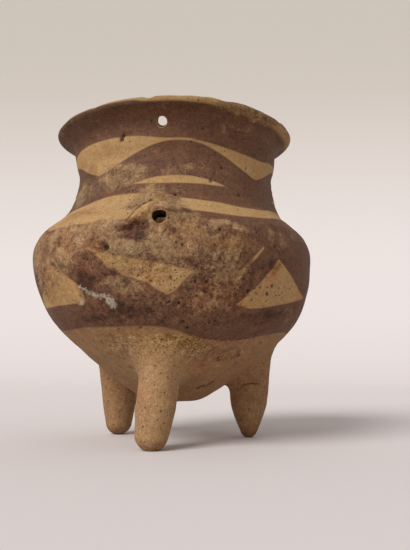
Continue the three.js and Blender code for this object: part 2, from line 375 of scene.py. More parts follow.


# Wear, stains and painted shade

# Ovals on the face, by the surface value that they raise: azimuth, height, half-width and half-height
# in millimetres, strength
PATCHES = {
    "rough": [
        (-6, 84, 46, 24, 1.0), (24, 80, 24, 24, 0.95), (8, 62, 46, 14, 0.75), (-2, 106, 15, 14, 0.8),
        (-24, 62, 28, 14, 0.55), (-20, 120, 16, 11, 0.45), (150, 80, 30, 20, 0.6),
        (-140, 66, 24, 14, 0.5), (5, 46, 28, 10, 1.0), (30, 42, 26, 9, 0.5), (-52, 76, 24, 14, 0.6),
        (-60, 96, 22, 12, 0.5), (40, 153, 34, 6, 0.8), (-70, 152, 20, 6, 0.5), (-104, 86, 30, 20, 0.75),
        (104, 92, 24, 16, 0.6), (-168, 120, 30, 14, 0.6), (92, 124, 22, 12, 0.5),
        (178, 62, 34, 12, 0.7), (-150, 92, 24, 12, 0.6), (112, 150, 26, 7, 0.6),
        (-160, 148, 30, 8, 0.6), (-32, 104, 26, 8, 0.5), (-16, 46, 26, 12, 0.8),
    ],
    "rubbed": [
        (-66, 90, 27, 13, 1.2), (-50, 90, 18, 12, 1.2), (-26, 92, 20, 10, 1.2),
        (-2, 107.5, 19, 14, 1.3), (-40, 97, 20, 5, 1.0), (-22, 96, 14, 5, 1.1), (-58, 76, 12, 10, 0.8),
        (-4, 89, 26, 11, 1.3), (12, 88, 20, 12, 1.3), (24, 87, 12, 10, 0.95), (4, 75, 15, 9, 0.9),
        (-11, 69, 9, 5, 0.9), (-17, 72, 8, 4, 1.1), (-39, 83, 9, 9, 1.2), (10, 98, 12, 5, 0.9),
        (14, 99, 9, 4, 0.8), (-25, 123, 20, 10, 1.0), (-50, 119, 18, 9, 0.55), (6, 114, 9, 4, 0.5),
        (62, 96, 14, 8, 0.35), (8, 125.6, 16, 4.5, 0.6), (50, 152.6, 42, 3, 0.6), (48, 92, 12, 8, 0.3),
        (-35.5, 84.5, 8, 8, 1.0), (22, 96.8, 8, 2.4, 1.1), (30, 95, 4, 4, 0.8), (1.3, 94.6, 3, 4, 1.2),
        (29, 71, 5, 5, 0.7), (150, 84, 26, 14, 0.65), (-112, 90, 24, 12, 0.65), (100, 60, 18, 8, 0.5),
        (-160, 118, 18, 9, 0.6), (176, 72, 18, 8, 0.6), (-92, 74, 16, 9, 0.6), (98, 97, 16, 7, 0.55),
        (-176, 147, 20, 5, 0.5), (112, 146, 22, 5, 0.5), (-140, 58, 18, 6, 0.6), (128, 120, 14, 7, 0.5),
        (-165, 97, 16, 6, 0.6), (5, 46, 22, 8, 0.4), (22, 75, 13, 9, 0.75), (18, 65, 20, 8, 0.5),
    ],
    # Stains, and painted shade in the hollow under the boss's hole (azimuth -9 to -3, height 92 to 96)
    "soiled": [
        (-28.5, 73.5, 8, 7, 1.0), (-17, 76.8, 5.5, 3.2, 0.9), (-7, 92, 8, 4.5, 1.0),
        (-13, 61, 15, 6, 1.0), (-60, 132, 12, 6, 0.35), (-46, 129, 9, 6, 0.5), (-50, 72, 26, 12, 0.4),
        (24, 70, 14, 9, 0.25), (34, 77, 5, 9, 0.4), (45.5, 81, 4, 4, 0.7), (-9.5, 105.6, 4.5, 3.2, 0.6),
        (3, 112, 8, 4, 0.4), (-38, 80.5, 5, 3.5, 0.7), (-50, 91, 8, 6, 0.4), (-30, 58, 10, 5, 0.5),
        (36, 57, 12, 5, 0.4), (50, 60, 11, 5, 0.9), (12, 79, 5, 4, 0.3), (-5, 95.6, 7, 3.2, 0.9),
        (-19, 87, 5, 4, 0.5), (140, 62, 20, 8, 0.6), (34.5, 39.4, 4, 1.6, 0.9), (46, 42.4, 4, 1.6, 0.8),
        (51, 38, 3, 1.3, 0.7), (-26.5, 37, 4, 2, 0.8), (44, 50.4, 6, 2, 0.5), (0, 49, 5, 3, 0.5),
        (9, 46, 4, 3, 0.4), (15, 49, 6, 3, 0.5), (4, 27, 2, 2, 0.9), (158, 92, 14, 7, 0.7),
        (-128, 72, 16, 9, 0.7), (-98, 97, 12, 7, 0.6), (96, 84, 12, 9, 0.6), (-172, 128, 14, 6, 0.6),
        (178, 66, 18, 6, 0.7), (-112, 82, 10, 5, 0.8), (140, 78, 10, 5, 0.7), (-9, 94.4, 6, 2.4, 1.0),
        (-3, 92.6, 5, 3, 0.8), (-34, 104.5, 24, 6, 0.2), (-32, 137, 18, 6, 0.22),
        (-52, 77, 10, 7, 0.25),
    ],
    "tan": [
        (-6, 46, 34, 12, 1.0), (-12, 36, 34, 12, 0.7), (-45, 46, 24, 12, 0.3),
    ],
    "pale": [
        (-14, 96.5, 4.5, 3, 1.3), (-5, 83.8, 8, 2.2, 1.3), (-31, 92, 13, 5, 0.95), (-20, 73, 4, 3, 0.6),
        (-25, 79, 6, 4, 0.5), (-11, 70.5, 7, 3, 0.5), (-22, 58, 9, 4, 0.45), (-19, 45, 3.6, 3.2, 1.7),
        (-22, 41, 3.6, 3, 1.7), (-37, 86, 7, 5, 0.4), (20, 79, 6, 5, 0.4), (130, 88, 9, 5, 0.6),
        (27, 129, 9, 2.5, 0.5), (-108, 93, 8, 4, 0.6), (172, 82, 7, 4, 0.6), (-150, 60, 9, 4, 0.5),
        (-156, 120, 6, 4, 0.5),
    ],
    "olive": [
        (-76, 92, 22, 17, 0.8), (-66, 72, 18, 12, 0.6), (-3, 86, 16, 7, 0.5), (-52, 120, 24, 14, 0.9),
        (-24, 123, 18, 9, 0.6), (-2, 109, 17, 9, 0.6), (12, 99, 12, 4, 0.6), (75, 140, 26, 8, 0.5),
        (-17, 72, 9, 4, 0.6), (22, 84, 10, 9, 0.4), (-60, 148, 20, 6, 0.5), (-4, 47, 28, 8, 0.3),
        (-40, 38, 22, 14, 0.8),
    ],
    "ruddy": [
        (-34, 91, 26, 10, 1.0), (-30, 77, 18, 8, 0.8), (-8, 93, 14, 6, 0.8), (20, 66, 26, 12, 0.8),
        (-20, 60, 22, 9, 0.5), (-30, 107, 18, 5, 0.5), (30, 40, 26, 9, 0.5), (-140, 84, 30, 12, 0.6),
        (120, 96, 26, 10, 0.5),
    ],
    "ochre": [
        (2, 47, 24, 9, 1.0), (-14, 50, 12, 5, 0.7), (4, 38, 10, 8, 0.5), (46, 80, 5, 4, 0.9),
        (36, 64, 10, 4, 0.7), (28, 87, 14, 7, 0.5), (8, 95, 12, 4, 0.5), (-20, 84, 8, 4, 0.6),
        (-4, 113, 16, 3, 0.5), (30, 90, 10, 6, 0.5), (-120, 86, 20, 9, 0.5), (150, 86, 18, 8, 0.5),
        (-170, 46, 24, 9, 0.6),
    ],
    "pitting": [
        (20, 69, 26, 15, 1.0), (-2, 74, 22, 14, 0.35), (47, 72, 12, 11, 0.6), (12, 60, 30, 10, 0.7),
        (-4, 104, 14, 12, 0.5), (-25, 84, 20, 18, 0.35), (120, 70, 40, 20, 0.4),
        (-130, 70, 40, 20, 0.3), (5, 46, 24, 9, 0.9), (170, 56, 30, 10, 0.6), (-150, 90, 20, 10, 0.5),
    ],
}
STRAY_CELL = 7
STRAY_DEGREES = 2.6
STRAY_HEIGHT = 2.2


def strayed(points, azimuth, height):
    """Places moved about a little, which gives soft patches ragged outlines."""
    aside = STRAY_DEGREES * layered(points, STRAY_CELL, 41, 3)
    upward = STRAY_HEIGHT * layered(points, STRAY_CELL, 47, 3)
    return azimuth + aside, height + upward


def patches(spots, azimuth, height):
    """The strongest of some patches at each place, from 0 to 1, falling smoothly at their edges."""
    most = np.zeros(azimuth.shape)
    for middle_azimuth, middle_height, half_width, half_height, strength in spots:
        x, y = np.moveaxis(flat(azimuth, height, (middle_azimuth, middle_height)), -1, 0)
        inside = 1 - smoothstep(0.25, 1, np.hypot(x / half_width, y / half_height))
        most = np.maximum(most, strength * inside)
    return most


# Grey-white deposit, as strokes
MINERAL_STREAKS = [
    ((-31.5, 70.8), (-27, 67.6), 1.5),
    ((-27, 67.6), (-19, 65), 1.7),
    ((-20.5, 65), (-18.5, 62.8), 2.4),
    ((-34.5, 63.8), (-32.5, 64.2), 1.2),
    ((-14, 71), (-8, 72), 0.2),
]

# Pits and chips as (azimuth, height, radius, depth), and fields of scattered ones
PITS = [
    (-17.6, 86, 1.9, 1.6), (22.5, 94.2, 0.9, 0.8), (13, 71.5, 0.9, 0.8), (34, 68.7, 1.2, 0.7),
    (45.5, 71.8, 1.1, 0.5), (43.5, 68.2, 1.2, 0.6), (7, 62.8, 1.0, 0.8), (10.6, 52.8, 1.0, 0.8),
    (3.6, 106.5, 0.9, 0.8), (4.4, 103.6, 0.9, 0.9), (6.5, 112, 1.0, 0.9), (-4.5, 109.5, 1.0, 0.8),
    (9, 86.6, 0.9, 0.7), (-23, 140.9, 1.5, 1.0), (-21.6, 142.4, 1.1, 0.9), (-18, 22.3, 0.9, 0.6),
    (30.6, 127.6, 1.1, 0.5), (17.5, 71.5, 1.0, 0.7),
]
PIT_FIELDS = [
    {"azimuth": (-12, 50), "height": (50, 84), "count": 22, "radius": (0.8, 1.1)},
    {"azimuth": (-180, 180), "height": (24, 150), "count": 70, "radius": (0.8, 1.3)},
]
PIT_DEPTHS = (0.4, 0.8)
PIT_EDGE = (0.35, 1.15)
FIELD_PIT_DARKNESS = 0.6

# Slits in the underside, as strokes
SLITS = [
    ((33, 26.0), (37.5, 28.0), 0.75),
    ((40.5, 27.2), (45.5, 29.6), 0.75),
]
SLIT_DEPTH = 1.1


def all_pits():
    rng = np.random.default_rng(SEED)
    found = [np.array(PITS)]
    for field in PIT_FIELDS:
        count = field["count"]
        radius = rng.uniform(*field["radius"], count)
        found.append(np.stack([
            rng.uniform(*field["azimuth"], count),
            rng.uniform(*field["height"], count),
            radius,
            radius * rng.uniform(*PIT_DEPTHS, count),
        ], -1))
    return np.vstack(found)


pits = all_pits()
pit_middles = on_face(along_at_height(pits[:, 1]), pits[:, 0])


def pitted(points, azimuth, height):
    """Depth of the pits and slits at points on or near the face, and how far into one each point is."""
    depth = np.zeros(azimuth.shape)
    share = np.zeros(azimuth.shape)
    for number, (middle, (_, _, radius, deep)) in enumerate(zip(pit_middles, pits)):
        dark = 1 if number < len(PITS) else FIELD_PIT_DARKNESS
        near = np.abs(points - middle).max(-1) < 1.3 * radius
        inside = 1 - smoothstep(*PIT_EDGE, np.linalg.norm(points[near] - middle, axis=-1) / radius)
        depth[near] = np.maximum(depth[near], deep * inside)
        share[near] = np.maximum(share[near], dark * inside)
    for slit in SLITS:
        inside = smoothstep(-0.5, slit[2], inside_stroke(*slit, azimuth, height))
        depth = np.maximum(depth, SLIT_DEPTH * inside)
        share = np.maximum(share, inside)
    return depth, share


# The pierced boss, with what is left of its ridge: a groove above the pale slope, a crest, and a thin
# arm down to its right. A trough leads down from its hole

LUG_MIDDLE = (0, 101.6)
LUG_HALF_WIDTH = 15.5
LUG_HALF_TALL = 11.5
LUG_PROUD = 3.4
LUG_FULLNESS = 1.4
GROOVE = bent_stroke([(-10.2, 97.8), (-7.9, 101.2), (-5.6, 105.6), (-3.8, 108.4)], 0.6)
CREST = [(-11.5, 95.2), (0, 99.6)]
CREST_RISE = 2.2
CREST_SLOPE = (1.5, 0.5)
CREST_DIP = 0.3
HOLLOW_DEPTH = 2.6
ARM = bent_stroke([(3.6, 98.8), (6.5, 97.8), (9.9, 96.2), (13.5, 95.2), (18, 96.4)], 0.9)
ARM_RISE = 0.9
TROUGH = ((LUG_HOLE["azimuth"], LUG_HOLE["height"]), (1.4, LUG_HOLE["height"] - 6), 2)
TROUGH_DEPTH = 1.8


def crest_rise(azimuth, height):
    """Rise of the ridge at points round it, below 0 in the groove above it and in the hollow below it."""
    start, end = flat(*np.transpose(CREST), LUG_MIDDLE)
    length = np.linalg.norm(end - start)
    along = (end - start) / length
    points = flat(azimuth, height, LUG_MIDDLE) - start
    forward = points @ along
    aside = points @ [-along[1], along[0]]
    width = CREST_SLOPE[0] + CREST_SLOPE[1] * np.clip(forward, 0, length)
    slope = np.clip(1 - aside / width, -CREST_DIP, 1) * window((-1.6, 0), (width + 4, width + 0.5), aside)
    ridge = CREST_RISE * slope * window((-3, 1), (length + 3, length - 1), forward)
    hollow = window((-12, -4), (0, -2.2), aside) * window((-4, 0), (12, 8.5), forward)
    x, y = np.moveaxis(flat(azimuth, height, (LUG_HOLE["azimuth"], LUG_HOLE["height"])), -1, 0)
    clear = smoothstep(LUG_HOLE["radius"] + 0.4, LUG_HOLE["radius"] + 2, np.hypot(x, 0.7 * y))
    return (ridge - HOLLOW_DEPTH * hollow) * clear


def lug_rise(u, azimuth):
    """Height of the pierced boss over the shoulder, below 0 where it is worn hollow under its hole."""
    height = face_at(u)[1]
    x, y = np.moveaxis(flat(azimuth, height, LUG_MIDDLE), -1, 0)
    reach = np.hypot(x / LUG_HALF_WIDTH, y / LUG_HALF_TALL)
    mound = LUG_PROUD * np.clip(1 - reach**2, 0, None) ** LUG_FULLNESS
    crest = crest_rise(azimuth, height)
    arm = ARM_RISE * smoothstep(-1.0, 0.7, inside_strokes(ARM, azimuth, height))
    rise = mound + smoothstep(0.1, 1.2, mound) * (np.maximum(crest, 0) + arm) + np.minimum(crest, 0)
    trough = smoothstep(-1.5, 1.8, inside_stroke(*TROUGH, azimuth, height))
    below_hole = smoothstep(LUG_HOLE["height"] - 8, LUG_HOLE["height"] - 1, height)
    return rise - TROUGH_DEPTH * below_hole * trough


# Relief of the surface, in millimetres

# Shaping by hand, as depths and cells of noise
UNEVENNESS = [(0.45, 42), (0.3, 17), (0.12, 7)]
BRUSH_STRETCH = [0.35, 0.35, 1]
BRUSH_DEPTH = 0.08
NECK_SWELL = 0.9
NECK_SWELL_HEIGHT = 140.5
NECK_SWELL_REACH = 5
FLAKE_DEPTH = 0.45
DENT_DEPTH = 0.5
CRUMB_DEPTH = 0.22
SOUND_SKIN = 0.15


def erosion(points, azimuth, height):
    """Depth that wear has taken from the surface, below 0 where crumbs still stand up."""
    rough = patches(PATCHES["rough"], *strayed(points, azimuth, height))
    flakes = FLAKE_DEPTH * smoothstep(-0.12, 0.16, layered(points, 10, 5, 5))
    dents = DENT_DEPTH * np.abs(layered(points, 5, 9, 3))
    return rough * (flakes + dents - SOUND_SKIN + CRUMB_DEPTH * layered(points, 2.1, 6, 2))


def relief(points, azimuth):
    """How far the outer surface stands off the plain face, from hand shaping, brush marks and wear."""
    height = points[..., 2]
    rise = sum(depth * noise(points, cell, 1 + i) for i, (depth, cell) in enumerate(UNEVENNESS))
    rise = rise + BRUSH_DEPTH * layered(points * BRUSH_STRETCH, 3.2, 4, 2)
    rise = rise + NECK_SWELL * np.exp(-(((height - NECK_SWELL_HEIGHT) / NECK_SWELL_REACH) ** 2))
    rise = rise - erosion(points, azimuth, height)
    return rise - pitted(points, azimuth, height)[0]


# Chips of the lip, as (azimuth, half-width in degrees, depth)
LIP_CHIPS = [
    (-5.6, 1.8, 0.9), (-32, 2.6, 0.5), (28, 3.2, 0.45), (61, 2.4, 0.6), (118, 3, 0.8), (-150, 4, 0.7),
]
LIP_WORN = 0.25
LIP_UNEVEN = 0.3


def lip_wear(azimuth):
    """How far the lip is worn down, by azimuth."""
    turn = np.stack([np.cos(np.radians(azimuth)), np.sin(np.radians(azimuth)), 0 * azimuth], -1)
    drop = LIP_WORN + LIP_UNEVEN * layered(turn * 58, 16, 8, 3)
    for middle, width, deep in LIP_CHIPS:
        drop = drop + deep * np.exp(-((turn_from(middle, azimuth) / width) ** 2))
    return drop


# Sideways lean by height, and how the far side of the rim is drawn in and raised
LEAN = [(0, 0), (30, 0.9), (52, 1.3), (72, 0.4), (90, -0.5), (110, -0.1), (131, 0.6), (156, 0.5)]
REAR_AZIMUTHS = (70, 115)
REAR_HEIGHTS = (143, 154)
REAR_DRAWN_IN = (0.03, 0.04)
REAR_RAISED = 1.4
RIM_WAVE = 0.35


def settle(points):
    """The hand-built lean and unevenness of the whole vessel, in millimetres."""
    points = points.copy()
    x, y, z = np.moveaxis(points, -1, 0)
    lean = spline(LEAN, 8)
    azimuth = azimuth_of(points)
    rear = smoothstep(*REAR_AZIMUTHS, np.abs(azimuth)) * smoothstep(*REAR_HEIGHTS, z)
    wave = RIM_WAVE * smoothstep(120, 156, z) * np.sin(np.radians(3 * azimuth + 40))
    points[..., 0] = x * (1 - REAR_DRAWN_IN[0] * rear) + np.interp(z, lean[:, 0], lean[:, 1])
    points[..., 1] = y * (1 - REAR_DRAWN_IN[1] * rear)
    points[..., 2] = z + REAR_RAISED * rear + wave
    return points


# What the clay shader reads at each place: distances inside paint, slip and deposit in millimetres,
# and shares of everything else

FAR_OUTSIDE = -20.0
PLAIN_CLAY = {
    "dark_mm": FAR_OUTSIDE, "slip_mm": FAR_OUTSIDE, "mineral_mm": FAR_OUTSIDE, "rough": 0.3, "eroded": 0.0,
    "rubbed": 0.0, "soiled": 0.0, "pale": 0.0, "olive": 0.0, "pit_and_shade": 0.0, "pitting": 0.1, "tan": 0.2,
    "ochre": 0.0, "ruddy": 0.0,
}
WALL_PITTING = 0.08
WALL_TAN = 0.25
WALL_WEAR = 0.24
# How far the wedge and the boss's slope are spared from rubbing; on the slope this keeps a painted
# highlight
KEPT_PALE = 0.8
# Painted shade in the groove above the boss's slope
GROOVE_PAINTED_SHADE = 1.1
LIP_GRIME = 0.3
LIP_GRIME_HEIGHTS = (150.5, 153.5)
LIP_OLIVE = 0.75
LIP_OLIVE_HEIGHTS = (150.5, 153)
INNER_SLIP_FOOT = 150.6
# The chamber below the neck is painted darker with depth: painted shade inside the vessel
CHAMBER_HEIGHTS = (138, 100)
CHAMBER_SHADE_PIT = 0.35
CHAMBER_SHADE_DARK_MM = (-18, 12)


def chamber_values(height, values):
    """A plain slip to just below the rim, and a chamber painted darker with depth as painted shade."""
    chamber = smoothstep(*CHAMBER_HEIGHTS, height)
    outside, inside = CHAMBER_SHADE_DARK_MM
    return {
        **values,
        "slip_mm": height - INNER_SLIP_FOOT,
        "dark_mm": outside + (inside - outside) * chamber,
        "soiled": chamber,
        "pit_and_shade": CHAMBER_SHADE_PIT * chamber,
    }


def surface_values(u, azimuth, outside=True, height=None):
    """The shader values of the wall, by length along the face and azimuth."""
    plain = on_face(u, azimuth)
    height = plain[..., 2] if height is None else height
    values = {key: np.full(height.shape, value) for key, value in PLAIN_CLAY.items()}
    if not outside:
        return chamber_values(height, values)
    there = strayed(plain, azimuth, height)
    for key, spots in PATCHES.items():
        values[key] = patches(spots, *there)
    values["dark_mm"], values["slip_mm"] = painted(azimuth, height)
    values["mineral_mm"] = inside_strokes(MINERAL_STREAKS, azimuth, height)
    values["pit_and_shade"] = pitted(plain, azimuth, height)[1]
    values["eroded"] = erosion(plain, azimuth, height) - 0.25 * values["rough"]
    values["rubbed"] += WALL_WEAR * smoothstep(0.05, 0.9, layered(plain, 15, 51, 4))
    # The wedge and the boss's slope stay pale, and the slope takes no soil or shade: a painted highlight
    # there
    for outline in (FACET_AND_HIGHLIGHT, WEDGE):
        values["rubbed"] -= KEPT_PALE * smoothstep(-1, 1.2, inside_outline(outline, azimuth, height))
    values["soiled"] *= smoothstep(0.6, -0.6, inside_outline(FACET_AND_HIGHLIGHT, azimuth, height))
    # Painted shade along the groove above the slope
    groove = GROOVE_PAINTED_SHADE * smoothstep(-0.7, 0.3, inside_strokes(GROOVE, azimuth, height))
    values["soiled"] = np.maximum(values["soiled"], groove)
    values["soiled"] += LIP_GRIME * smoothstep(*LIP_GRIME_HEIGHTS, height)
    values["olive"] = np.maximum(values["olive"], LIP_OLIVE * smoothstep(*LIP_OLIVE_HEIGHTS, height))
    values["pitting"] += WALL_PITTING
    values["tan"] += WALL_TAN
    return values


# Meshes

def placed(name, data):
    item = bpy.data.objects.new(name, data)
    bpy.context.scene.collection.objects.link(item)
    return item


def grid_normals(points):
    """Outward normals of a grid of rows of points, each row closed on itself."""
    across = np.roll(points, -1, 1) - np.roll(points, 1, 1)
    return unit(np.cross(across, np.gradient(points, axis=0)))


class Shell:
    """Gathers the vertices, faces, normals and shader values of one closed piece."""

    def __init__(self):
        self.points = []
        self.normals = []
        self.values = []
        self.faces = []
        self.count = 0

    def add_points(self, points, normals, values):
        index = self.count + np.arange(points[..., 0].size).reshape(points.shape[:-1])
        self.points.append(points.reshape(-1, 3))
        self.normals.append(normals.reshape(-1, 3))
        self.values.append({name: np.broadcast_to(v, index.shape).ravel() for name, v in values.items()})
        self.count += index.size
        return index

    def add_rows(self, rows, points, normals, values):
        """Adds only some rows of a grid that was worked out with more."""
        return self.add_points(points[rows], normals[rows], {key: v[rows] for key, v in values.items()})

    def at(self, index):
        return np.concatenate(self.points)[index]

    def add_faces(self, *corners):
        self.faces.append(np.stack([corner.ravel() for corner in corners], -1))

    def add_strip(self, low, high):
        """Faces between two closed rings of vertices."""
        self.add_faces(low, np.roll(low, -1), np.roll(high, -1), high)

    def add_fan(self, ring, middle):
        """Faces between a closed ring and one vertex."""
        self.add_faces(ring, np.roll(ring, -1), np.full(ring.shape, middle), np.full(ring.shape, -1))

    def add_grid(self, index, keep=None, inward=False):
        """Faces over rows of vertices, each row closed on itself."""
        a, b = index[:-1], np.roll(index, -1, 1)[:-1]
        c, d = np.roll(index, -1, 1)[1:], index[1:]
        keep = np.ones(a.shape, bool) if keep is None else keep
        corners = [side[keep] for side in (a, b, c, d)]
        self.add_faces(*(corners[::-1] if inward else corners))

    def build(self, name):
        """Makes the piece that stands for the CAD node of the same name."""
        faces = np.concatenate(self.faces)
        loops = faces[faces >= 0]
        used, loops = np.unique(loops, return_inverse=True)
        sizes = (faces >= 0).sum(1)
        mesh = bpy.data.meshes.new(name)
        mesh.vertices.add(len(used))
        mesh.vertices.foreach_set("co", (self.at(used) * MM).ravel())
        mesh.loops.add(len(loops))
        mesh.loops.foreach_set("vertex_index", loops.ravel().astype(np.int32))
        mesh.polygons.add(len(sizes))
        mesh.polygons.foreach_set("loop_start", (np.cumsum(sizes) - sizes).astype(np.int32))
        mesh.polygons.foreach_set("use_smooth", np.ones(len(sizes), bool))
        for key in self.values[0]:
            layer = mesh.attributes.new(key, "FLOAT", "POINT")
            values = np.concatenate([v[key] for v in self.values])[used]
            layer.data.foreach_set("value", values.astype(np.float32))
        mesh.update(calc_edges=True)
        mesh.normals_split_custom_set_from_vertices(unit(np.concatenate(self.normals)[used]))
        piece = placed(name + "_clay", mesh)
        slot = next(slot for slot, pieces in SLOTS.items() if name in pieces)
        mesh.materials.append(clay[slot])
        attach(piece, "root")
        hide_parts(name)
        return piece


column_azimuths = -180 + 360 * np.arange(COLUMNS) / COLUMNS
column_width = 360 / COLUMNS

# A hole takes a square of the grid's cells, pressed round, and its edge is a little wider than its tube
HOLE_CELLS = 4
HOLE_BLEND = 1.85
HOLE_EDGE = 0.4
TUBE_STEPS = 7


def grid(lengths):
    """Lengths and azimuths of a grid with a row at each length along the face."""
    return np.meshgrid(lengths, column_azimuths, indexing="ij")


class Hole:
    """A drilled hole, fitted into a grid by pressing a square of its cells into a circle."""

    def __init__(self, spec, u, azimuth, points):
        self.radius = spec["radius"] + HOLE_EDGE
        self.column = int(round((spec["azimuth"] + 180) / column_width))
        surface = points[:, self.column]
        from_axis = axis_distance(surface)
        at_face = face_at(along_at_height(spec["height"]))[0]
        tilt = np.radians(spec["slope"])
        axis = spec["height"] + (at_face - from_axis) * np.tan(tilt)
        self.row = int(np.argmin(np.abs(surface[:, 2] - axis)))
        self.u = u[self.row, self.column]
        self.azimuth = azimuth[self.row, self.column]
        low, high = self.row - HOLE_CELLS, self.row + HOLE_CELLS
        rise = surface[high] - surface[low]
        across_axis = rise[2] * np.cos(tilt) + (from_axis[high] - from_axis[low]) * np.sin(tilt)
        self.stretch = (u[high, self.column] - u[low, self.column]) / across_axis
        self.mm_per_degree = np.radians(1) * from_axis[self.row]
        self.reach = HOLE_CELLS * np.array([ROW / self.stretch, column_width * self.mm_per_degree])

    def warp(self, u, azimuth):
        """Moves grid places so that the square's edge lies on the hole's circle."""
        y = (u - self.u) / self.stretch
        x = (azimuth - self.azimuth) * self.mm_per_degree
        square = np.maximum(np.abs(y) / self.reach[0], np.abs(x) / self.reach[1])
        pull = 1 - smoothstep(1, HOLE_BLEND, square)
        scale = 1 + pull * (self.radius * square / np.maximum(np.hypot(x, y), TINY) - 1)
        return self.u + y * scale * self.stretch, self.azimuth + x * scale / self.mm_per_degree

    def corners(self):
        """The first and last row and the first and last column of the square's edge."""
        row, column = self.row, self.column
        return row - HOLE_CELLS, row + HOLE_CELLS, column - HOLE_CELLS, column + HOLE_CELLS

    def cut(self, keep):
        """Takes the hole's cells out of a mask of a grid's cells."""
        r0, r1, c0, c1 = self.corners()
        keep[r0:r1, c0:c1] = False
        return keep

    def rim(self, index):
        """The vertices round the hole, in order."""
        r0, r1, c0, c1 = self.corners()
        return np.concatenate([
            index[r0, c0:c1], index[r0:r1, c1], index[r1, c1:c0:-1], index[r1:r0:-1, c0],
        ])


def add_tube(shell, outer, inner, shade_start=0):
    """The wall of a hole between its rims, a little wider at both; painted shade darkens it above and
    farther in.
    """
    start, end = shell.at(outer), shell.at(inner)
    rings = [outer]
    for share in np.linspace(0, 1, TUBE_STEPS + 1)[1:-1]:
        ring = start * (1 - share) + end * share
        toward = ring.mean(0) - ring
        radius = np.linalg.norm(toward, axis=-1)[:, None]
        above = smoothstep(0.1, -0.4, toward[:, 2] / radius[:, 0])
        shade = (shade_start + share) * (0.3 + 1.7 * above)
        values = {**PLAIN_CLAY, "soiled": 2 * shade, "pit_and_shade": 1.8 * shade}
        rings.append(shell.add_points(ring + toward / radius * HOLE_EDGE, toward, values))
    rings.append(inner)
    for low, high in zip(rings, rings[1:]):
        shell.add_strip(low, high)


# The wall

# The relief fades towards the lip, whose own wear takes over
OUTER_FADE = 6
INNER_FADE = 8
WIPE_SPACING = 8.5
WIPE_DEPTH = 0.28
LUG_EDGE = 0.03
LUG_SUNK = 0.45
LUG_BEDDED = 0.25


def rows_between(low, high, spacing):
    return np.linspace(low, high, max(2, int(round((high - low) / spacing))) + 1)


def outer_place(u, azimuth, rise=0):
    near_lip = smoothstep(FACE_LENGTH - OUTER_FADE, FACE_LENGTH, u)
    return on_face(u, azimuth, rise + relief(on_face(u, azimuth), azimuth) * (1 - 0.5 * near_lip))


def inner_place(u, azimuth):
    """The inside, with the waves that wiping fingers leave."""
    plain = on_face(u, azimuth)
    lines = WIPE_DEPTH * np.sin(2 * np.pi * u / WIPE_SPACING + 2 * noise(plain, 40, 11))
    lines = lines + 0.35 * noise(plain, 24, 12) + 0.1 * layered(plain, 5, 13, 2)
    fade = 1 - smoothstep(FACE_LENGTH - INNER_FADE, FACE_LENGTH, u)
    return on_face(u, azimuth, -wall_thickness(u) + lines * fade)


def shoulder_place(u, azimuth, sunk=0):
    """The shoulder under its boss, with the groove below the hole."""
    return outer_place(u, azimuth, np.minimum(lug_rise(u, azimuth), 0) - sunk)


def lug_top_place(u, azimuth):
    rise = lug_rise(u, azimuth)
    return outer_place(u, azimuth, np.where(rise > LUG_EDGE, rise, rise - LUG_BEDDED))


def lug_foot_place(u, azimuth):
    return shoulder_place(u, azimuth, LUG_SUNK)


def places(low, high, spacing):
    """Lengths and azimuths of a grid, with one row more at each end to steady its normals."""
    rows = rows_between(low, high, spacing)
    return grid(np.concatenate([[rows[0] - min(spacing, 0.7 * rows[0])], rows, [rows[-1] + spacing]]))


def add_wall(shell, low, high, spacing, place, outside, spec=None):
    """Adds a stretch of the outer or inner face; gives back its vertices and its hole."""
    u, azimuth = places(low, high, spacing)
    hole = None
    if spec:
        hole = Hole(spec, u, azimuth, place(u, azimuth))
        u, azimuth = hole.warp(u, azimuth)
        hole.row -= 1
    points = settle(place(u, azimuth))
    normals = grid_normals(points) * (1 if outside else -1)
    index = shell.add_rows(slice(1, -1), points, normals, surface_values(u, azimuth, outside))
    keep = np.ones((len(index) - 1, COLUMNS), bool)
    if hole:
        hole.cut(keep)
    shell.add_grid(index, keep, inward=not outside)
    return index, hole


def add_pole(shell, ring, place, outside):
    """Closes the middle of the base with one vertex."""
    zero = np.zeros((1, 1))
    values = surface_values(zero, zero, outside)
    normal = np.array([[[0, 0, -1.0 if outside else 1.0]]])
    middle = shell.add_points(settle(place(zero, zero)), normal, values)[0, 0]
    shell.add_fan(ring[::-1] if outside else ring, middle)


def wall_piece(name, low, high):
    """One coil of the wall: outer face, inner face and the laps between."""
    spec = {"rim_coil": RIM_HOLE, "shoulder_coil": LUG_HOLE}.get(name)
    place = shoulder_place if name == "shoulder_coil" else outer_place
    base = name == "base_bowl"
    shell = Shell()
    outer, outer_hole = add_wall(shell, low if low else ROW, high, ROW, place, True, spec)
    spacing = ROW if spec else INNER_ROW
    inner_low = low + LAP_RISE if low else ROW
    inner, inner_hole = add_wall(shell, inner_low, high + LAP_RISE, spacing, inner_place, False, spec)
    if spec:
        add_tube(shell, outer_hole.rim(outer), inner_hole.rim(inner), 1 if name == "shoulder_coil" else 0)
    if base:
        add_pole(shell, outer[0], place, True)
        add_pole(shell, inner[0], inner_place, False)
    else:
        shell.add_strip(inner[0], outer[0])
    shell.add_strip(outer[-1], inner[-1])
    return shell.build(name)


LIP_STEPS = 12
LIP_INNER_ROW = 0.5


def lip_arc(azimuth, share):
    """Points over the round of the lip, from the outer face at a share of 0 to the inner face at 1."""
    end = np.full(share.shape, FACE_LENGTH)
    radius, height, out_r, out_z = face_at(end)
    turn = np.arctan2(out_z, out_r) + np.pi * share
    half = RIM_WALL / 2
    rise = 0.5 * relief(on_face(end, azimuth), azimuth) * (1 - smoothstep(0.4, 1, share))
    r = radius - half * out_r + (half + rise) * np.cos(turn)
    z = height - half * out_z + (half + rise) * np.sin(turn)
    z = z - lip_wear(azimuth) * smoothstep(-0.5, 0.9, np.sin(turn))
    return polar(r, azimuth, z)


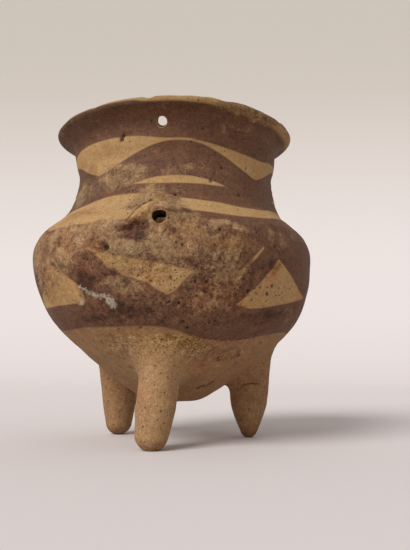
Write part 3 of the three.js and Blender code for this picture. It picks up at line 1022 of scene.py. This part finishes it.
def lip_piece(name, low):
    """The rounded lip, from its seam on the outside over the top to its seam inside."""
    seam = low + LAP_RISE
    outer = grid(np.concatenate([[low - ROW], rows_between(low, FACE_LENGTH, ROW)[:-1]]))
    inner = grid(np.concatenate([rows_between(FACE_LENGTH, seam, -LIP_INNER_ROW)[1:], [seam - 1]]))
    share, azimuth = grid(np.linspace(0, 1, LIP_STEPS + 1))
    top = lip_arc(azimuth, share)
    parts = [
        surface_values(*outer),
        surface_values(np.full(share.shape, FACE_LENGTH), azimuth, height=top[..., 2]),
        surface_values(*inner, outside=False),
    ]
    values = {key: np.concatenate([part[key] for part in parts]) for key in PLAIN_CLAY}
    points = settle(np.concatenate([outer_place(*outer), top, inner_place(*inner)]))
    shell = Shell()
    index = shell.add_rows(slice(1, -1), points, grid_normals(points), values)
    shell.add_grid(index)
    shell.add_strip(index[-1], index[0])
    return shell.build(name)


def add_lug_side(shell, u, azimuth, place):
    """Adds the top or the foot of the boss; gives back its vertices, its hole and where it is raised."""
    hole = Hole(LUG_HOLE, u, azimuth, place(u, azimuth))
    u, azimuth = hole.warp(u, azimuth)
    rise = lug_rise(u, azimuth)
    normals = grid_normals(settle(outer_place(u, azimuth, rise)))
    index = shell.add_points(settle(place(u, azimuth)), normals, surface_values(u, azimuth))
    return index, hole, rise > LUG_EDGE


def lug_piece(name, low, high):
    """The pierced boss: a lens of clay laid on the shoulder and smoothed into it."""
    shell = Shell()
    u, azimuth = places(low, high, ROW)
    top, top_hole, raised = add_lug_side(shell, u, azimuth, lug_top_place)
    foot, foot_hole, _ = add_lug_side(shell, u, azimuth, lug_foot_place)
    keep = raised | np.roll(raised, -1, 1)
    keep = keep[:-1] | keep[1:]
    keep |= ~foot_hole.cut(top_hole.cut(np.ones(keep.shape, bool)))
    shell.add_grid(top, top_hole.cut(keep.copy()))
    shell.add_grid(foot, foot_hole.cut(keep.copy()), inward=True)
    add_sides(shell, top, foot, keep)
    add_tube(shell, top_hole.rim(top), foot_hole.rim(foot))
    return shell.build(name)


def add_sides(shell, top, foot, keep):
    """Walls round the edge of a patch of cells, between its top and foot grids."""
    right = np.roll(np.arange(COLUMNS), -1)
    rows, columns = np.nonzero(keep)
    corners = [(rows, columns), (rows, right[columns]), (rows + 1, right[columns]), (rows + 1, columns)]
    bordered = np.pad(keep, ((1, 1), (0, 0)))
    neighbours = [
        bordered[rows, columns],
        keep[rows, right[columns]],
        bordered[rows + 2, columns],
        keep[rows, columns - 1],
    ]
    for side, neighbour in enumerate(neighbours):
        open_side = ~neighbour
        a = tuple(part[open_side] for part in corners[side])
        b = tuple(part[open_side] for part in corners[(side + 1) % 4])
        shell.add_faces(top[b], top[a], foot[a], foot[b])


# Legs

BALL_STEPS = 12
BALL_SHARE = 0.75
SHIN_ROWS = 46
COLLAR_ROWS = 26
COLLAR_BEND = (0.6, -1.2)
INSIDE_COLLAR = 1.5
# Legs darker towards their tips
FOOT_DARKENING = 0.45

# Rows past the collar's edge: how much farther out, and how far under the bowl's face
COLLAR_EDGE = [(0.6, 0.06), (1.2, 0.2), (1.8, 0.4)]

# Cracks round a leg's root: height, and the middle and half-width in degrees round the leg
ROOT_CRACKS = {"right_leg": {"height": 28, "side": 161, "reach": 34, "depth": 0.8}}
CRACK_WIDTH = 0.45

# Heights along a leg at which its root is looked for
ROOT_PROBE = np.linspace(1, 75, 297)

leg_sides = 360 * np.arange(LEG_COLUMNS) / LEG_COLUMNS


def turned(points, axis, degrees):
    """Points turned round the X, Y or Z axis."""
    c, s = np.cos(np.radians(degrees)), np.sin(np.radians(degrees))
    j, k = (axis + 1) % 3, (axis + 2) % 3
    result = points.copy()
    result[..., j] = c * points[..., j] - s * points[..., k]
    result[..., k] = s * points[..., j] + c * points[..., k]
    return result


def stood(points, leg):
    """Points of an upright leg moved to its place on the vase."""
    leaning = turned(turned(points, 0, -leg["lean_in"]), 1, leg["lean_side"])
    return turned(leaning + [0, -FOOT_CIRCLE_RADIUS, -FOOT_WEAR], 2, leg["direction"])


def leg_radius(leg, height):
    tip = leg["tip"]
    ball = BALL_SHARE * tip
    root_height = bowl_height(FOOT_CIRCLE_RADIUS) + leg["root"]
    curve = spline([
        (ball, np.sqrt(ball * (2 * tip - ball))),
        (SHIN_HEIGHT, leg["shin"]),
        ((SHIN_HEIGHT + root_height) / 2, (leg["shin"] + leg["root"]) / 2),
        (root_height, leg["root"]),
    ])
    round_end = np.sqrt(np.clip(height * (2 * tip - height), 0, None))
    return np.where(height < ball, round_end, np.interp(height, curve[:, 0], curve[:, 1]))


def leg_rings(leg, height, wider=0.0, higher=0.0):
    """Rings round the leg where it stands, from heights along it, made a little wider or higher."""
    radius = leg_radius(leg, height) + wider
    a = np.radians(leg_sides)
    upright = np.stack([radius * np.cos(a), radius * np.sin(a), height + higher + 0 * a], -1)
    return stood(upright, leg)


def under_bowl(points):
    """How far points lie below the bowl's face, straight down."""
    return bowl_height(axis_distance(points)) - points[..., 2]


def on_bowl(points):
    """Length along the face and azimuth of the places on the bowl above or below points."""
    return along_at_height(bowl_height(axis_distance(points))), azimuth_of(points)


def bowl_place(points, sunk=0):
    """The points of the bowl's worn face above or below points, a little under it by sunk."""
    u, azimuth = on_bowl(points)
    return on_face(u, azimuth, relief(on_face(u, azimuth), azimuth) - sunk)


def leg_relief(points):
    rise = 0.38 * noise(points, 15, 21) + 0.16 * noise(points, 6, 22)
    return rise + 0.1 * layered(points * [1, 1, 0.6], 2.6, 23, 2)


def root_crack(points, crack):
    """Depth of a crack round a leg's root, highest in its middle."""
    off = np.abs(leg_sides - crack["side"]) / crack["reach"]
    below = crack["height"] - 1.2 * off**2 + 0.5 * noise(points, 7, 31) - points[..., 2]
    return crack["depth"] * np.exp(-((below / CRACK_WIDTH) ** 2)) * (1 - smoothstep(0.6, 1, off))


def leg_values(points, leg):
    """Shader values on a leg, with the wall's own near the wall."""
    gap = np.clip(under_bowl(points), 0, None)
    near = 1 - smoothstep(0, 5, gap)
    wall = surface_values(*on_bowl(points))
    own = {**PLAIN_CLAY, "rough": 0.15, "pitting": 0.17, "tan": leg["tan"]}
    values = {key: wall[key] * near + own[key] * (1 - near) for key in wall}
    values["dark_mm"] = wall["dark_mm"] - 0.5 * gap
    values["slip_mm"] = wall["slip_mm"] - 0.8 * gap
    values["soiled"] = np.maximum(values["soiled"], FOOT_DARKENING * smoothstep(7, 1, points[..., 2]))
    return values


def leg_root(leg):
    """Height along the leg at which each of its sides meets the bowl."""
    sides = leg_rings(leg, ROOT_PROBE[:, None])
    return ROOT_PROBE[np.argmax(under_bowl(sides) < 0, axis=0)]


def leg_side(leg, last):
    """Rows up the leg, from its round tip to where the collar starts."""
    ball = leg["tip"] * (1 - np.cos(np.linspace(0, np.arccos(1 - BALL_SHARE), BALL_STEPS + 1)[1:]))
    shin = ball[-1] + (last - ball[-1]) * np.linspace(0, 1, SHIN_ROWS + 1)[1:, None]
    return leg_rings(leg, np.concatenate([np.tile(ball[:, None], LEG_COLUMNS), shin]))


def collar_side(leg, last, root, t):
    """Rows over the collar, which bends from the leg out onto the bowl, and a little past its edge."""
    bend = leg_rings(leg, root, *COLLAR_BEND)
    landing = bowl_place(leg_rings(leg, root, COLLAR_WIDTH))
    collar = (1 - t) ** 2 * leg_rings(leg, last) + 2 * t * (1 - t) * bend + t**2 * landing
    beyond = [bowl_place(leg_rings(leg, root, COLLAR_WIDTH + far), sunk) for far, sunk in COLLAR_EDGE]
    return np.concatenate([collar, beyond])


def leg_surface(name, leg, last, root):
    """Points, normals and shader values up the leg and over its collar, and how many rows are the leg's."""
    t = np.linspace(0, 1, COLLAR_ROWS + 1)[1:, None, None]
    side = leg_side(leg, last)
    plain = np.concatenate([side, collar_side(leg, last, root, t)])
    collar_fade = 1 - smoothstep(0.35, 1, t[:, 0, 0])
    fade = np.concatenate([np.ones(len(side)), collar_fade, np.zeros(len(COLLAR_EDGE))])
    outward = grid_normals(plain)
    points = plain + outward * (leg_relief(plain) * fade[:, None])[..., None]
    values = leg_values(points, leg)
    if name in ROOT_CRACKS:
        crack = root_crack(points, ROOT_CRACKS[name])
        points = points - outward * crack[..., None]
        values["pit_and_shade"] = np.maximum(values["pit_and_shade"], crack)
    points[..., 2] = np.maximum(points[..., 2], 0)
    points = settle(points)
    return points, grid_normals(points), values, len(side)


def leg_pieces(name, leg):
    """The leg and the collar of clay that spreads from it onto the bowl."""
    root = leg_root(leg)
    last = root - leg["collar"]
    points, normals, values, split = leg_surface(name, leg, last, root)
    shell = Shell()
    index = shell.add_rows(slice(0, split), points, normals, values)
    shell.add_grid(index)
    ends = [(points[0].mean(0) * [1, 1, 0], -1.0), (stood(np.array([0, 0, root.mean()]), leg), 1.0)]
    at_tip = {key: value[0, 0] for key, value in values.items()}
    tip, crown = (shell.add_points(end[None], np.array([[0, 0, up]]), at_tip)[0] for end, up in ends)
    shell.add_fan(index[0][::-1], tip)
    shell.add_fan(index[-1], crown)
    shell.build(name)

    shell = Shell()
    index = shell.add_rows(slice(split - 1, None), points, normals, values)
    shell.add_grid(index)
    edge = {key: value[split - 1] for key, value in values.items()}
    hidden = [leg_rings(leg, root, -INSIDE_COLLAR, INSIDE_COLLAR), leg_rings(leg, last, -INSIDE_COLLAR)]
    rings = [shell.add_points(ring, points[split - 1] - ring, edge) for ring in hidden]
    for low, high in zip([index[-1], *rings], [*rings, index[0]]):
        shell.add_strip(low, high)
    shell.build(name + "_collar")


# Materials

# Colours along each ramp, from the darkest, with most soil and painted shade, to the palest
PAINT_RAMP = [
    (0.00, (0.045, 0.019, 0.012)),
    (0.22, (0.104, 0.048, 0.027)),
    (0.38, (0.158, 0.075, 0.041)),
    (0.54, (0.226, 0.115, 0.059)),
    (0.70, (0.310, 0.174, 0.084)),
    (0.86, (0.420, 0.262, 0.130)),
    (1.00, (0.580, 0.425, 0.270)),
]
SLIP_RAMP = [
    (0.00, (0.110, 0.052, 0.030)),
    (0.20, (0.225, 0.115, 0.054)),
    (0.40, (0.340, 0.190, 0.080)),
    (0.60, (0.425, 0.260, 0.116)),
    (0.80, (0.500, 0.330, 0.176)),
    (1.00, (0.650, 0.500, 0.330)),
]
CLAY_RAMP = [
    (0.00, (0.080, 0.036, 0.021)),
    (0.22, (0.170, 0.080, 0.041)),
    (0.42, (0.260, 0.136, 0.066)),
    (0.62, (0.355, 0.208, 0.100)),
    (0.82, (0.450, 0.290, 0.145)),
    (1.00, (0.600, 0.440, 0.270)),
]
WORN_RAMP = [
    (0.00, (0.055, 0.025, 0.016)),
    (0.24, (0.140, 0.064, 0.038)),
    (0.44, (0.240, 0.132, 0.064)),
    (0.62, (0.330, 0.197, 0.098)),
    (0.80, (0.430, 0.268, 0.142)),
    (1.00, (0.560, 0.405, 0.270)),
]
OCHRE = (0.430, 0.225, 0.062)
CRUMB = (0.480, 0.330, 0.200)
MINERAL = (0.450, 0.380, 0.285)
OLIVE_TINT = (0.80, 0.96, 0.95)
OCHRE_TINT = (1.03, 0.96, 0.74)
RED_TINT = (1.00, 0.86, 0.80)
# Dark colour of specks, pores and pits, and of the painted shade in the chamber and the holes
DARK_SOIL_AND_SHADE = (0.030, 0.015, 0.010)
CLAY_GLOSS = 0.15

# Noises: cell in millimetres, detail, roughness, and the stretch and shift of the place
NOISES = {
    "broad": (26, 3.0, 0.55),
    "middle": (8, 3.0, 0.55),
    "other": (4.5, 4.0, 0.6, (1, 1, 1), (0.31, 0.17, 0.53)),
    "fine": (1.9, 4.0, 0.65),
    "grain": (0.9, 3.0, 0.7),
    "dust": (0.5, 2.0, 0.6),
    "strokes": (2.4, 3.0, 0.5, (0.22, 0.22, 1), (0.1, 0.2, 0.3)),
    "cloud": (14, 4.0, 0.6, (1, 1, 1), (0.7, 0.2, 0.4)),
}

# Dots: cell and radius in millimetres, and for the specks the share of cells that have one
PORES = [(2.6, 0.42), (1.4, 0.32)]
SPECKS = (3.1, 0.28, 0.4)

# How far the edges of the dots are shaken, in metres, and the cell of the shaking in millimetres
SHAKE = 0.0008
SHAKE_CELL = 0.8

# Places of a colour mix node's sockets
MIX_A, MIX_B, MIX_RESULT = 6, 7, 2


class Graph:
    """Short ways to add and join shader nodes."""

    def __init__(self, name):
        self.material = bpy.data.materials.new(name)
        self.material.use_nodes = True
        self.nodes = self.material.node_tree.nodes
        self.links = self.material.node_tree.links
        self.shader = self.nodes["Principled BSDF"]
        self.place = self.add("ShaderNodeTexCoord").outputs["Object"]

    def put(self, socket, value):
        if isinstance(value, bpy.types.NodeSocket):
            self.links.new(value, socket)
        elif isinstance(value, tuple) and socket.type == "RGBA":
            socket.default_value = (*value, 1)
        else:
            socket.default_value = value

    def add(self, kind, settings=None, **inputs):
        node = self.nodes.new(kind)
        for key, value in (settings or {}).items():
            setattr(node, key, value)
        for key, value in inputs.items():
            self.put(node.inputs[key.replace("_", " ")], value)
        return node

    def math(self, operation, a, b=0.0):
        node = self.add("ShaderNodeMath", {"operation": operation})
        self.put(node.inputs[0], a)
        self.put(node.inputs[1], b)
        return node.outputs[0]

    def times(self, a, b):
        return self.math("MULTIPLY", a, b)

    def value(self, name):
        return self.add("ShaderNodeAttribute", {"attribute_name": name}).outputs["Fac"]

    def scaled(self, place, scale, shift=(0, 0, 0)):
        """A place stretched and moved, so that noises on it differ."""
        node = self.add("ShaderNodeVectorMath", {"operation": "MULTIPLY_ADD"})
        self.put(node.inputs[0], place)
        node.inputs[1].default_value = scale
        self.put(node.inputs[2], shift)
        return node.outputs[0]

    def noise(self, cell, detail, roughness, stretch=(1, 1, 1), shift=(0, 0, 0)):
        """Noise around 0, mostly from -1 to 1, with features about cell millimetres wide."""
        place = self.scaled(self.place, stretch, shift)
        node = self.add("ShaderNodeTexNoise", Vector=place, Scale=1 / (cell * MM), Detail=detail,
                        Roughness=roughness)
        return self.times(self.math("SUBTRACT", node.outputs["Fac"], 0.5), 5.0)

    def step(self, value, low, high):
        """0 at low and 1 at high, smoothly; low may be the larger."""
        node = self.add("ShaderNodeMapRange", {"interpolation_type": "SMOOTHSTEP"}, Value=value)
        self.put(node.inputs["From Min"], min(low, high))
        self.put(node.inputs["From Max"], max(low, high))
        result = node.outputs["Result"]
        return result if low < high else self.math("SUBTRACT", 1.0, result)

    def mix(self, share, a, b, blend="MIX"):
        node = self.add("ShaderNodeMix", {"data_type": "RGBA", "blend_type": blend})
        self.put(node.inputs[0], share)
        self.put(node.inputs[MIX_A], a)
        self.put(node.inputs[MIX_B], b)
        return node.outputs[MIX_RESULT]

    def tint(self, share, colour, by):
        return self.mix(share, colour, by, "MULTIPLY")

    def ramp(self, value, stops):
        node = self.add("ShaderNodeValToRGB", Fac=value)
        elements = node.color_ramp.elements
        while len(elements) < len(stops):
            elements.new(1.0)
        for element, (place, colour) in zip(elements, stops):
            element.position = place
            element.color = (*colour, 1)
        return node.outputs["Color"]

    def shade(self, colour, factor):
        node = self.add("ShaderNodeVectorMath", {"operation": "SCALE"})
        self.put(node.inputs[0], colour)
        self.put(node.inputs["Scale"], factor)
        return node.outputs[0]

    def surface(self, colour, roughness, gloss):
        self.put(self.shader.inputs["Base Color"], colour)
        self.put(self.shader.inputs["Roughness"], roughness)
        self.put(self.shader.inputs["Specular IOR Level"], gloss)


class Clay(Graph):
    """Fired clay with slip and dark paint where the surface values say so, worn and stained, with painted
    shade.
    """

    def __init__(self, name):
        super().__init__(name)
        shake = self.add("ShaderNodeTexNoise", Vector=self.place, Scale=1 / (SHAKE_CELL * MM))
        self.shaken = self.scaled(shake.outputs["Color"], (SHAKE, SHAKE, SHAKE), self.place)
        self.parts = {key: self.value(key) for key in PLAIN_CLAY}
        self.parts.update({key: self.noise(*spec) for key, spec in NOISES.items()})
        mottle = self.sum(broad=0.05, middle=0.09, other=0.12, fine=0.22, grain=0.28)
        self.parts["mottle"] = self.times(mottle, self.sum(0.32, rough=0.58, rubbed=0.45))

    def sum(self, *terms, **weights):
        """The sum of some terms and of named parts, each part times its weight."""
        total = 0.0
        for term in [*terms, *(self.times(self.parts[key], weight) for key, weight in weights.items())]:
            total = self.math("ADD", term, total)
        return total

    def dots(self, cell, radius, share):
        """Round spots, 1 at their middle, one to a cell in a share of the cells."""
        node = self.add("ShaderNodeTexVoronoi", Vector=self.shaken, Scale=1 / (cell * MM))
        pick = self.add("ShaderNodeSeparateColor", Color=node.outputs["Color"])
        size = self.math("ADD", 0.6, pick.outputs["Green"])
        near = self.math("DIVIDE", node.outputs["Distance"], self.times(size, radius / cell))
        there = self.math("LESS_THAN", pick.outputs["Red"], share)
        return self.times(self.step(near, 1.0, 0.45), there)

    def bare(self):
        """Bare clay, under slip where slip is left."""
        mottle = self.times(self.parts["mottle"], self.sum(0.8, rough=0.6))
        clay = self.ramp(self.sum(0.42, mottle, tan=0.2, soiled=-0.35), CLAY_RAMP)
        slip = self.ramp(self.sum(0.55, rough=-0.14, soiled=-0.40, eroded=-0.2, mottle=0.8), SLIP_RAMP)
        ochre = self.times(self.step(self.sum(other=0.8, broad=0.6), 0.2, 1.3), 0.5)
        left = self.step(self.sum(slip_mm=1, middle=0.3, fine=0.35, rough=-1.2), -0.5, 0.5)
        return self.mix(left, clay, self.mix(ochre, slip, OCHRE))

    def painted(self, base):
        """Dark paint over a base, with ragged edges where the surface is rough."""
        tone = self.sum(0.31, rough=0.10, soiled=-0.25, eroded=-0.2, strokes=0.05, mottle=0.8)
        ragged = self.sum(middle=0.2, other=0.1, fine=0.2, grain=0.18)
        ragged = self.times(ragged, self.sum(0.6, rough=1.6))
        self.parts["cover"] = self.step(self.sum(ragged, dark_mm=1), -0.42, 0.45)
        return self.mix(self.parts["cover"], base, self.ramp(tone, PAINT_RAMP))

    def worn(self, colour):
        """Patches of the clay's own browns where paint and slip are rubbed off."""
        tone = self.sum(0.52, broad=0.08, middle=0.10, other=0.13, fine=0.13, grain=0.15, rough=-0.04,
                        soiled=-0.35, eroded=-0.25)
        bared = self.step(self.sum(rubbed=1, rough=0.12, middle=0.16, other=0.12, fine=0.1), 0.15, 0.95)
        return self.mix(self.times(bared, 0.92), colour, self.ramp(tone, WORN_RAMP))

    def tinted(self, colour):
        """Olive, ruddy and ochre clouds over everything."""
        hue = self.sum(cloud=1, fine=0.25, ruddy=-1.1)
        olive = self.sum(self.times(self.step(hue, 0.0, 1.4), 0.35), olive=0.65)
        colour = self.tint(olive, colour, OLIVE_TINT)
        colour = self.tint(self.step(hue, -0.1, -1.5), colour, RED_TINT)
        return self.tint(self.parts["ochre"], colour, OCHRE_TINT)

    def stained(self, colour):
        """Pale crumbs, grey-white crust, fine grain, dark specks, pores and pits, and painted shade inside.
        """
        parts = self.parts
        loose = self.sum(pale=0.9, rough=0.15, other=0.3, fine=0.2, grain=0.3)
        parts["crumbs"] = self.step(loose, 0.85, 1.5)
        parts["crust"] = self.step(self.sum(mineral_mm=1, other=1.0, fine=0.8, grain=0.5), 0.0, 1.4)
        pores = (self.dots(cell, radius, parts["pitting"]) for cell, radius in PORES)
        parts["pores"] = self.math("MAXIMUM", *pores)
        holes = self.math("MAXIMUM", self.times(parts["pores"], 0.75), self.step(parts["pit_and_shade"], 0.15, 0.9))
        colour = self.mix(self.times(parts["crumbs"], 0.6), colour, CRUMB)
        colour = self.mix(self.times(parts["crust"], 0.7), colour, MINERAL)
        colour = self.shade(colour, self.sum(1.0, fine=0.05, grain=0.09, dust=0.07))
        colour = self.mix(self.times(self.dots(*SPECKS), 0.45), colour, DARK_SOIL_AND_SHADE)
        return self.mix(self.times(holes, 0.85), colour, DARK_SOIL_AND_SHADE)

    def bump(self):
        """The normal of crumbs, crust, pores and grain that are too fine for the mesh."""
        height = self.sum(middle=0.05, fine=0.07, grain=0.055, other=0.05, crumbs=0.12)
        height = self.times(height, self.sum(0.4, rough=1.7))
        height = self.sum(height, cover=0.03, crust=0.2, pores=-0.45, strokes=0.015)
        return self.add("ShaderNodeBump", Height=height, Distance=MM, Strength=1.0).outputs[0]

    def finish(self):
        """Joins everything to the shader."""
        colour = self.stained(self.tinted(self.worn(self.painted(self.bare()))))
        self.surface(colour, self.sum(0.80, cover=-0.12, rough=0.1, fine=0.03), CLAY_GLOSS)
        self.put(self.shader.inputs["Normal"], self.bump())
        return self.material


clay = {slot: Clay(slot).finish() for slot in SLOTS}

low = 0
for coil, share in COILS.items():
    high = share * FACE_LENGTH
    if coil == "lip_coil":
        lip_piece(coil, low)
    else:
        wall_piece(coil, low, high)
    if coil == "shoulder_coil":
        lug_piece("shoulder_lug", low, high)
    low = high
for leg_name, leg_spec in LEGS.items():
    leg_pieces(leg_name, leg_spec)


# Floor, backdrop, lights and camera

PAPER = (0.68, 0.625, 0.61)
# The backdrop is painted darker towards its top: painted shade
PAPER_TOP_SHADE = (0.575, 0.53, 0.475)
PAPER_FADE = (0.2, 1.25)
PAPER_BOUNCE = (0.64, 0.59, 0.57)
PAPER_ROUGHNESS = 0.95
PAPER_GLOSS = 0.05
SWEEP_HALF_WIDTH = 3.0
SWEEP_FRONT = -2.4
SWEEP_BACK = 0.75
SWEEP_BEND = 1.0
SWEEP_TOP = 3.0
SWEEP_STEPS = 24
KEY_LIGHT = {"azimuth": -36, "elevation": 38, "strength": 2.6, "spread": 32}
ROOM_LIGHT = (0.95, 0.93, 0.91)
ROOM_STRENGTH = 0.5
DISTANCE = (0.72, 0.665, 0.64)
CAMERA_PLACE = np.array([33.4, -325.3, 36.7]) * MM
CAMERA_FORWARD = np.array([-0.0518, 0.9883, 0.1435])
CAMERA_LENS = 41.24
CAMERA_SENSOR = 36


def point_at(item, place, target):
    """Moves a light or camera to a place and turns it to a target."""
    away = unit(np.array(place, float) - np.array(target, float))
    side = unit(np.cross([0, 0, 1], away))
    up = np.cross(away, side)
    item.matrix_world = Matrix([*zip(side, up, away, place), (0, 0, 0, 1)])


def paper_material(name):
    """Pale to the eye with painted shade towards its top, and darker to the light it sends under the vase.
    """
    g = Graph(name)
    seen = g.add("ShaderNodeLightPath").outputs["Is Camera Ray"]
    up = g.add("ShaderNodeSeparateXYZ", Vector=g.place).outputs["Z"]
    paper = g.mix(g.step(up, *PAPER_FADE), PAPER, PAPER_TOP_SHADE)
    g.surface(g.mix(seen, PAPER_BOUNCE, paper), PAPER_ROUGHNESS, PAPER_GLOSS)
    return g.material


def sweep(name):
    """A floor that curves up into a backdrop behind the vase."""
    profile = [(SWEEP_FRONT, 0), (SWEEP_BACK, 0)]
    for a in np.linspace(0, np.pi / 2, SWEEP_STEPS)[1:]:
        profile.append((SWEEP_BACK + SWEEP_BEND * np.sin(a), SWEEP_BEND * (1 - np.cos(a))))
    profile.append((SWEEP_BACK + SWEEP_BEND, SWEEP_TOP))
    vertices = [(x, y, z) for y, z in profile for x in (-SWEEP_HALF_WIDTH, SWEEP_HALF_WIDTH)]
    faces = [(2 * i, 2 * i + 1, 2 * i + 3, 2 * i + 2) for i in range(len(profile) - 1)]
    mesh = bpy.data.meshes.new(name)
    mesh.from_pydata(vertices, [], faces)
    mesh.polygons.foreach_set("use_smooth", [True] * len(faces))
    mesh.materials.append(paper_material("pale_paper"))
    return placed(name, mesh)


def lamp(name, azimuth, elevation, strength, spread):
    """A far, soft light, by the azimuth and elevation that it comes from in degrees."""
    light = bpy.data.lights.new(name, "SUN")
    light.energy = strength
    light.angle = np.radians(spread)
    e = np.radians(elevation)
    point_at(placed(name, light), polar(np.cos(e), azimuth, np.sin(e)), (0, 0, 0))


def room(name):
    """Soft light from all round. The eye sees a paler distance past the floor's end instead."""
    world = bpy.data.worlds.new(name)
    world.use_nodes = True
    nodes, links = world.node_tree.nodes, world.node_tree.links
    light = nodes["Background"]
    light.inputs["Color"].default_value = (*ROOM_LIGHT, 1)
    light.inputs["Strength"].default_value = ROOM_STRENGTH
    distance = nodes.new("ShaderNodeBackground")
    distance.inputs["Color"].default_value = (*DISTANCE, 1)
    mix = nodes.new("ShaderNodeMixShader")
    links.new(nodes.new("ShaderNodeLightPath").outputs["Is Camera Ray"], mix.inputs[0])
    links.new(light.outputs[0], mix.inputs[1])
    links.new(distance.outputs[0], mix.inputs[2])
    links.new(mix.outputs[0], nodes["World Output"].inputs["Surface"])
    bpy.context.scene.world = world


def photo_camera(name):
    """The camera of the photo, whose lens and sensor are in millimetres."""
    lens = bpy.data.cameras.new(name)
    lens.lens = CAMERA_LENS
    lens.sensor_width = CAMERA_SENSOR
    lens.clip_start = 0.01
    camera = placed(name, lens)
    point_at(camera, CAMERA_PLACE, CAMERA_PLACE + CAMERA_FORWARD)
    return camera


floor = sweep("floor_sweep")
lamp("key", **KEY_LIGHT)
room("room")
bpy.context.scene.camera = photo_camera("photo_camera")
bpy.context.scene.view_settings.view_transform = "Standard"
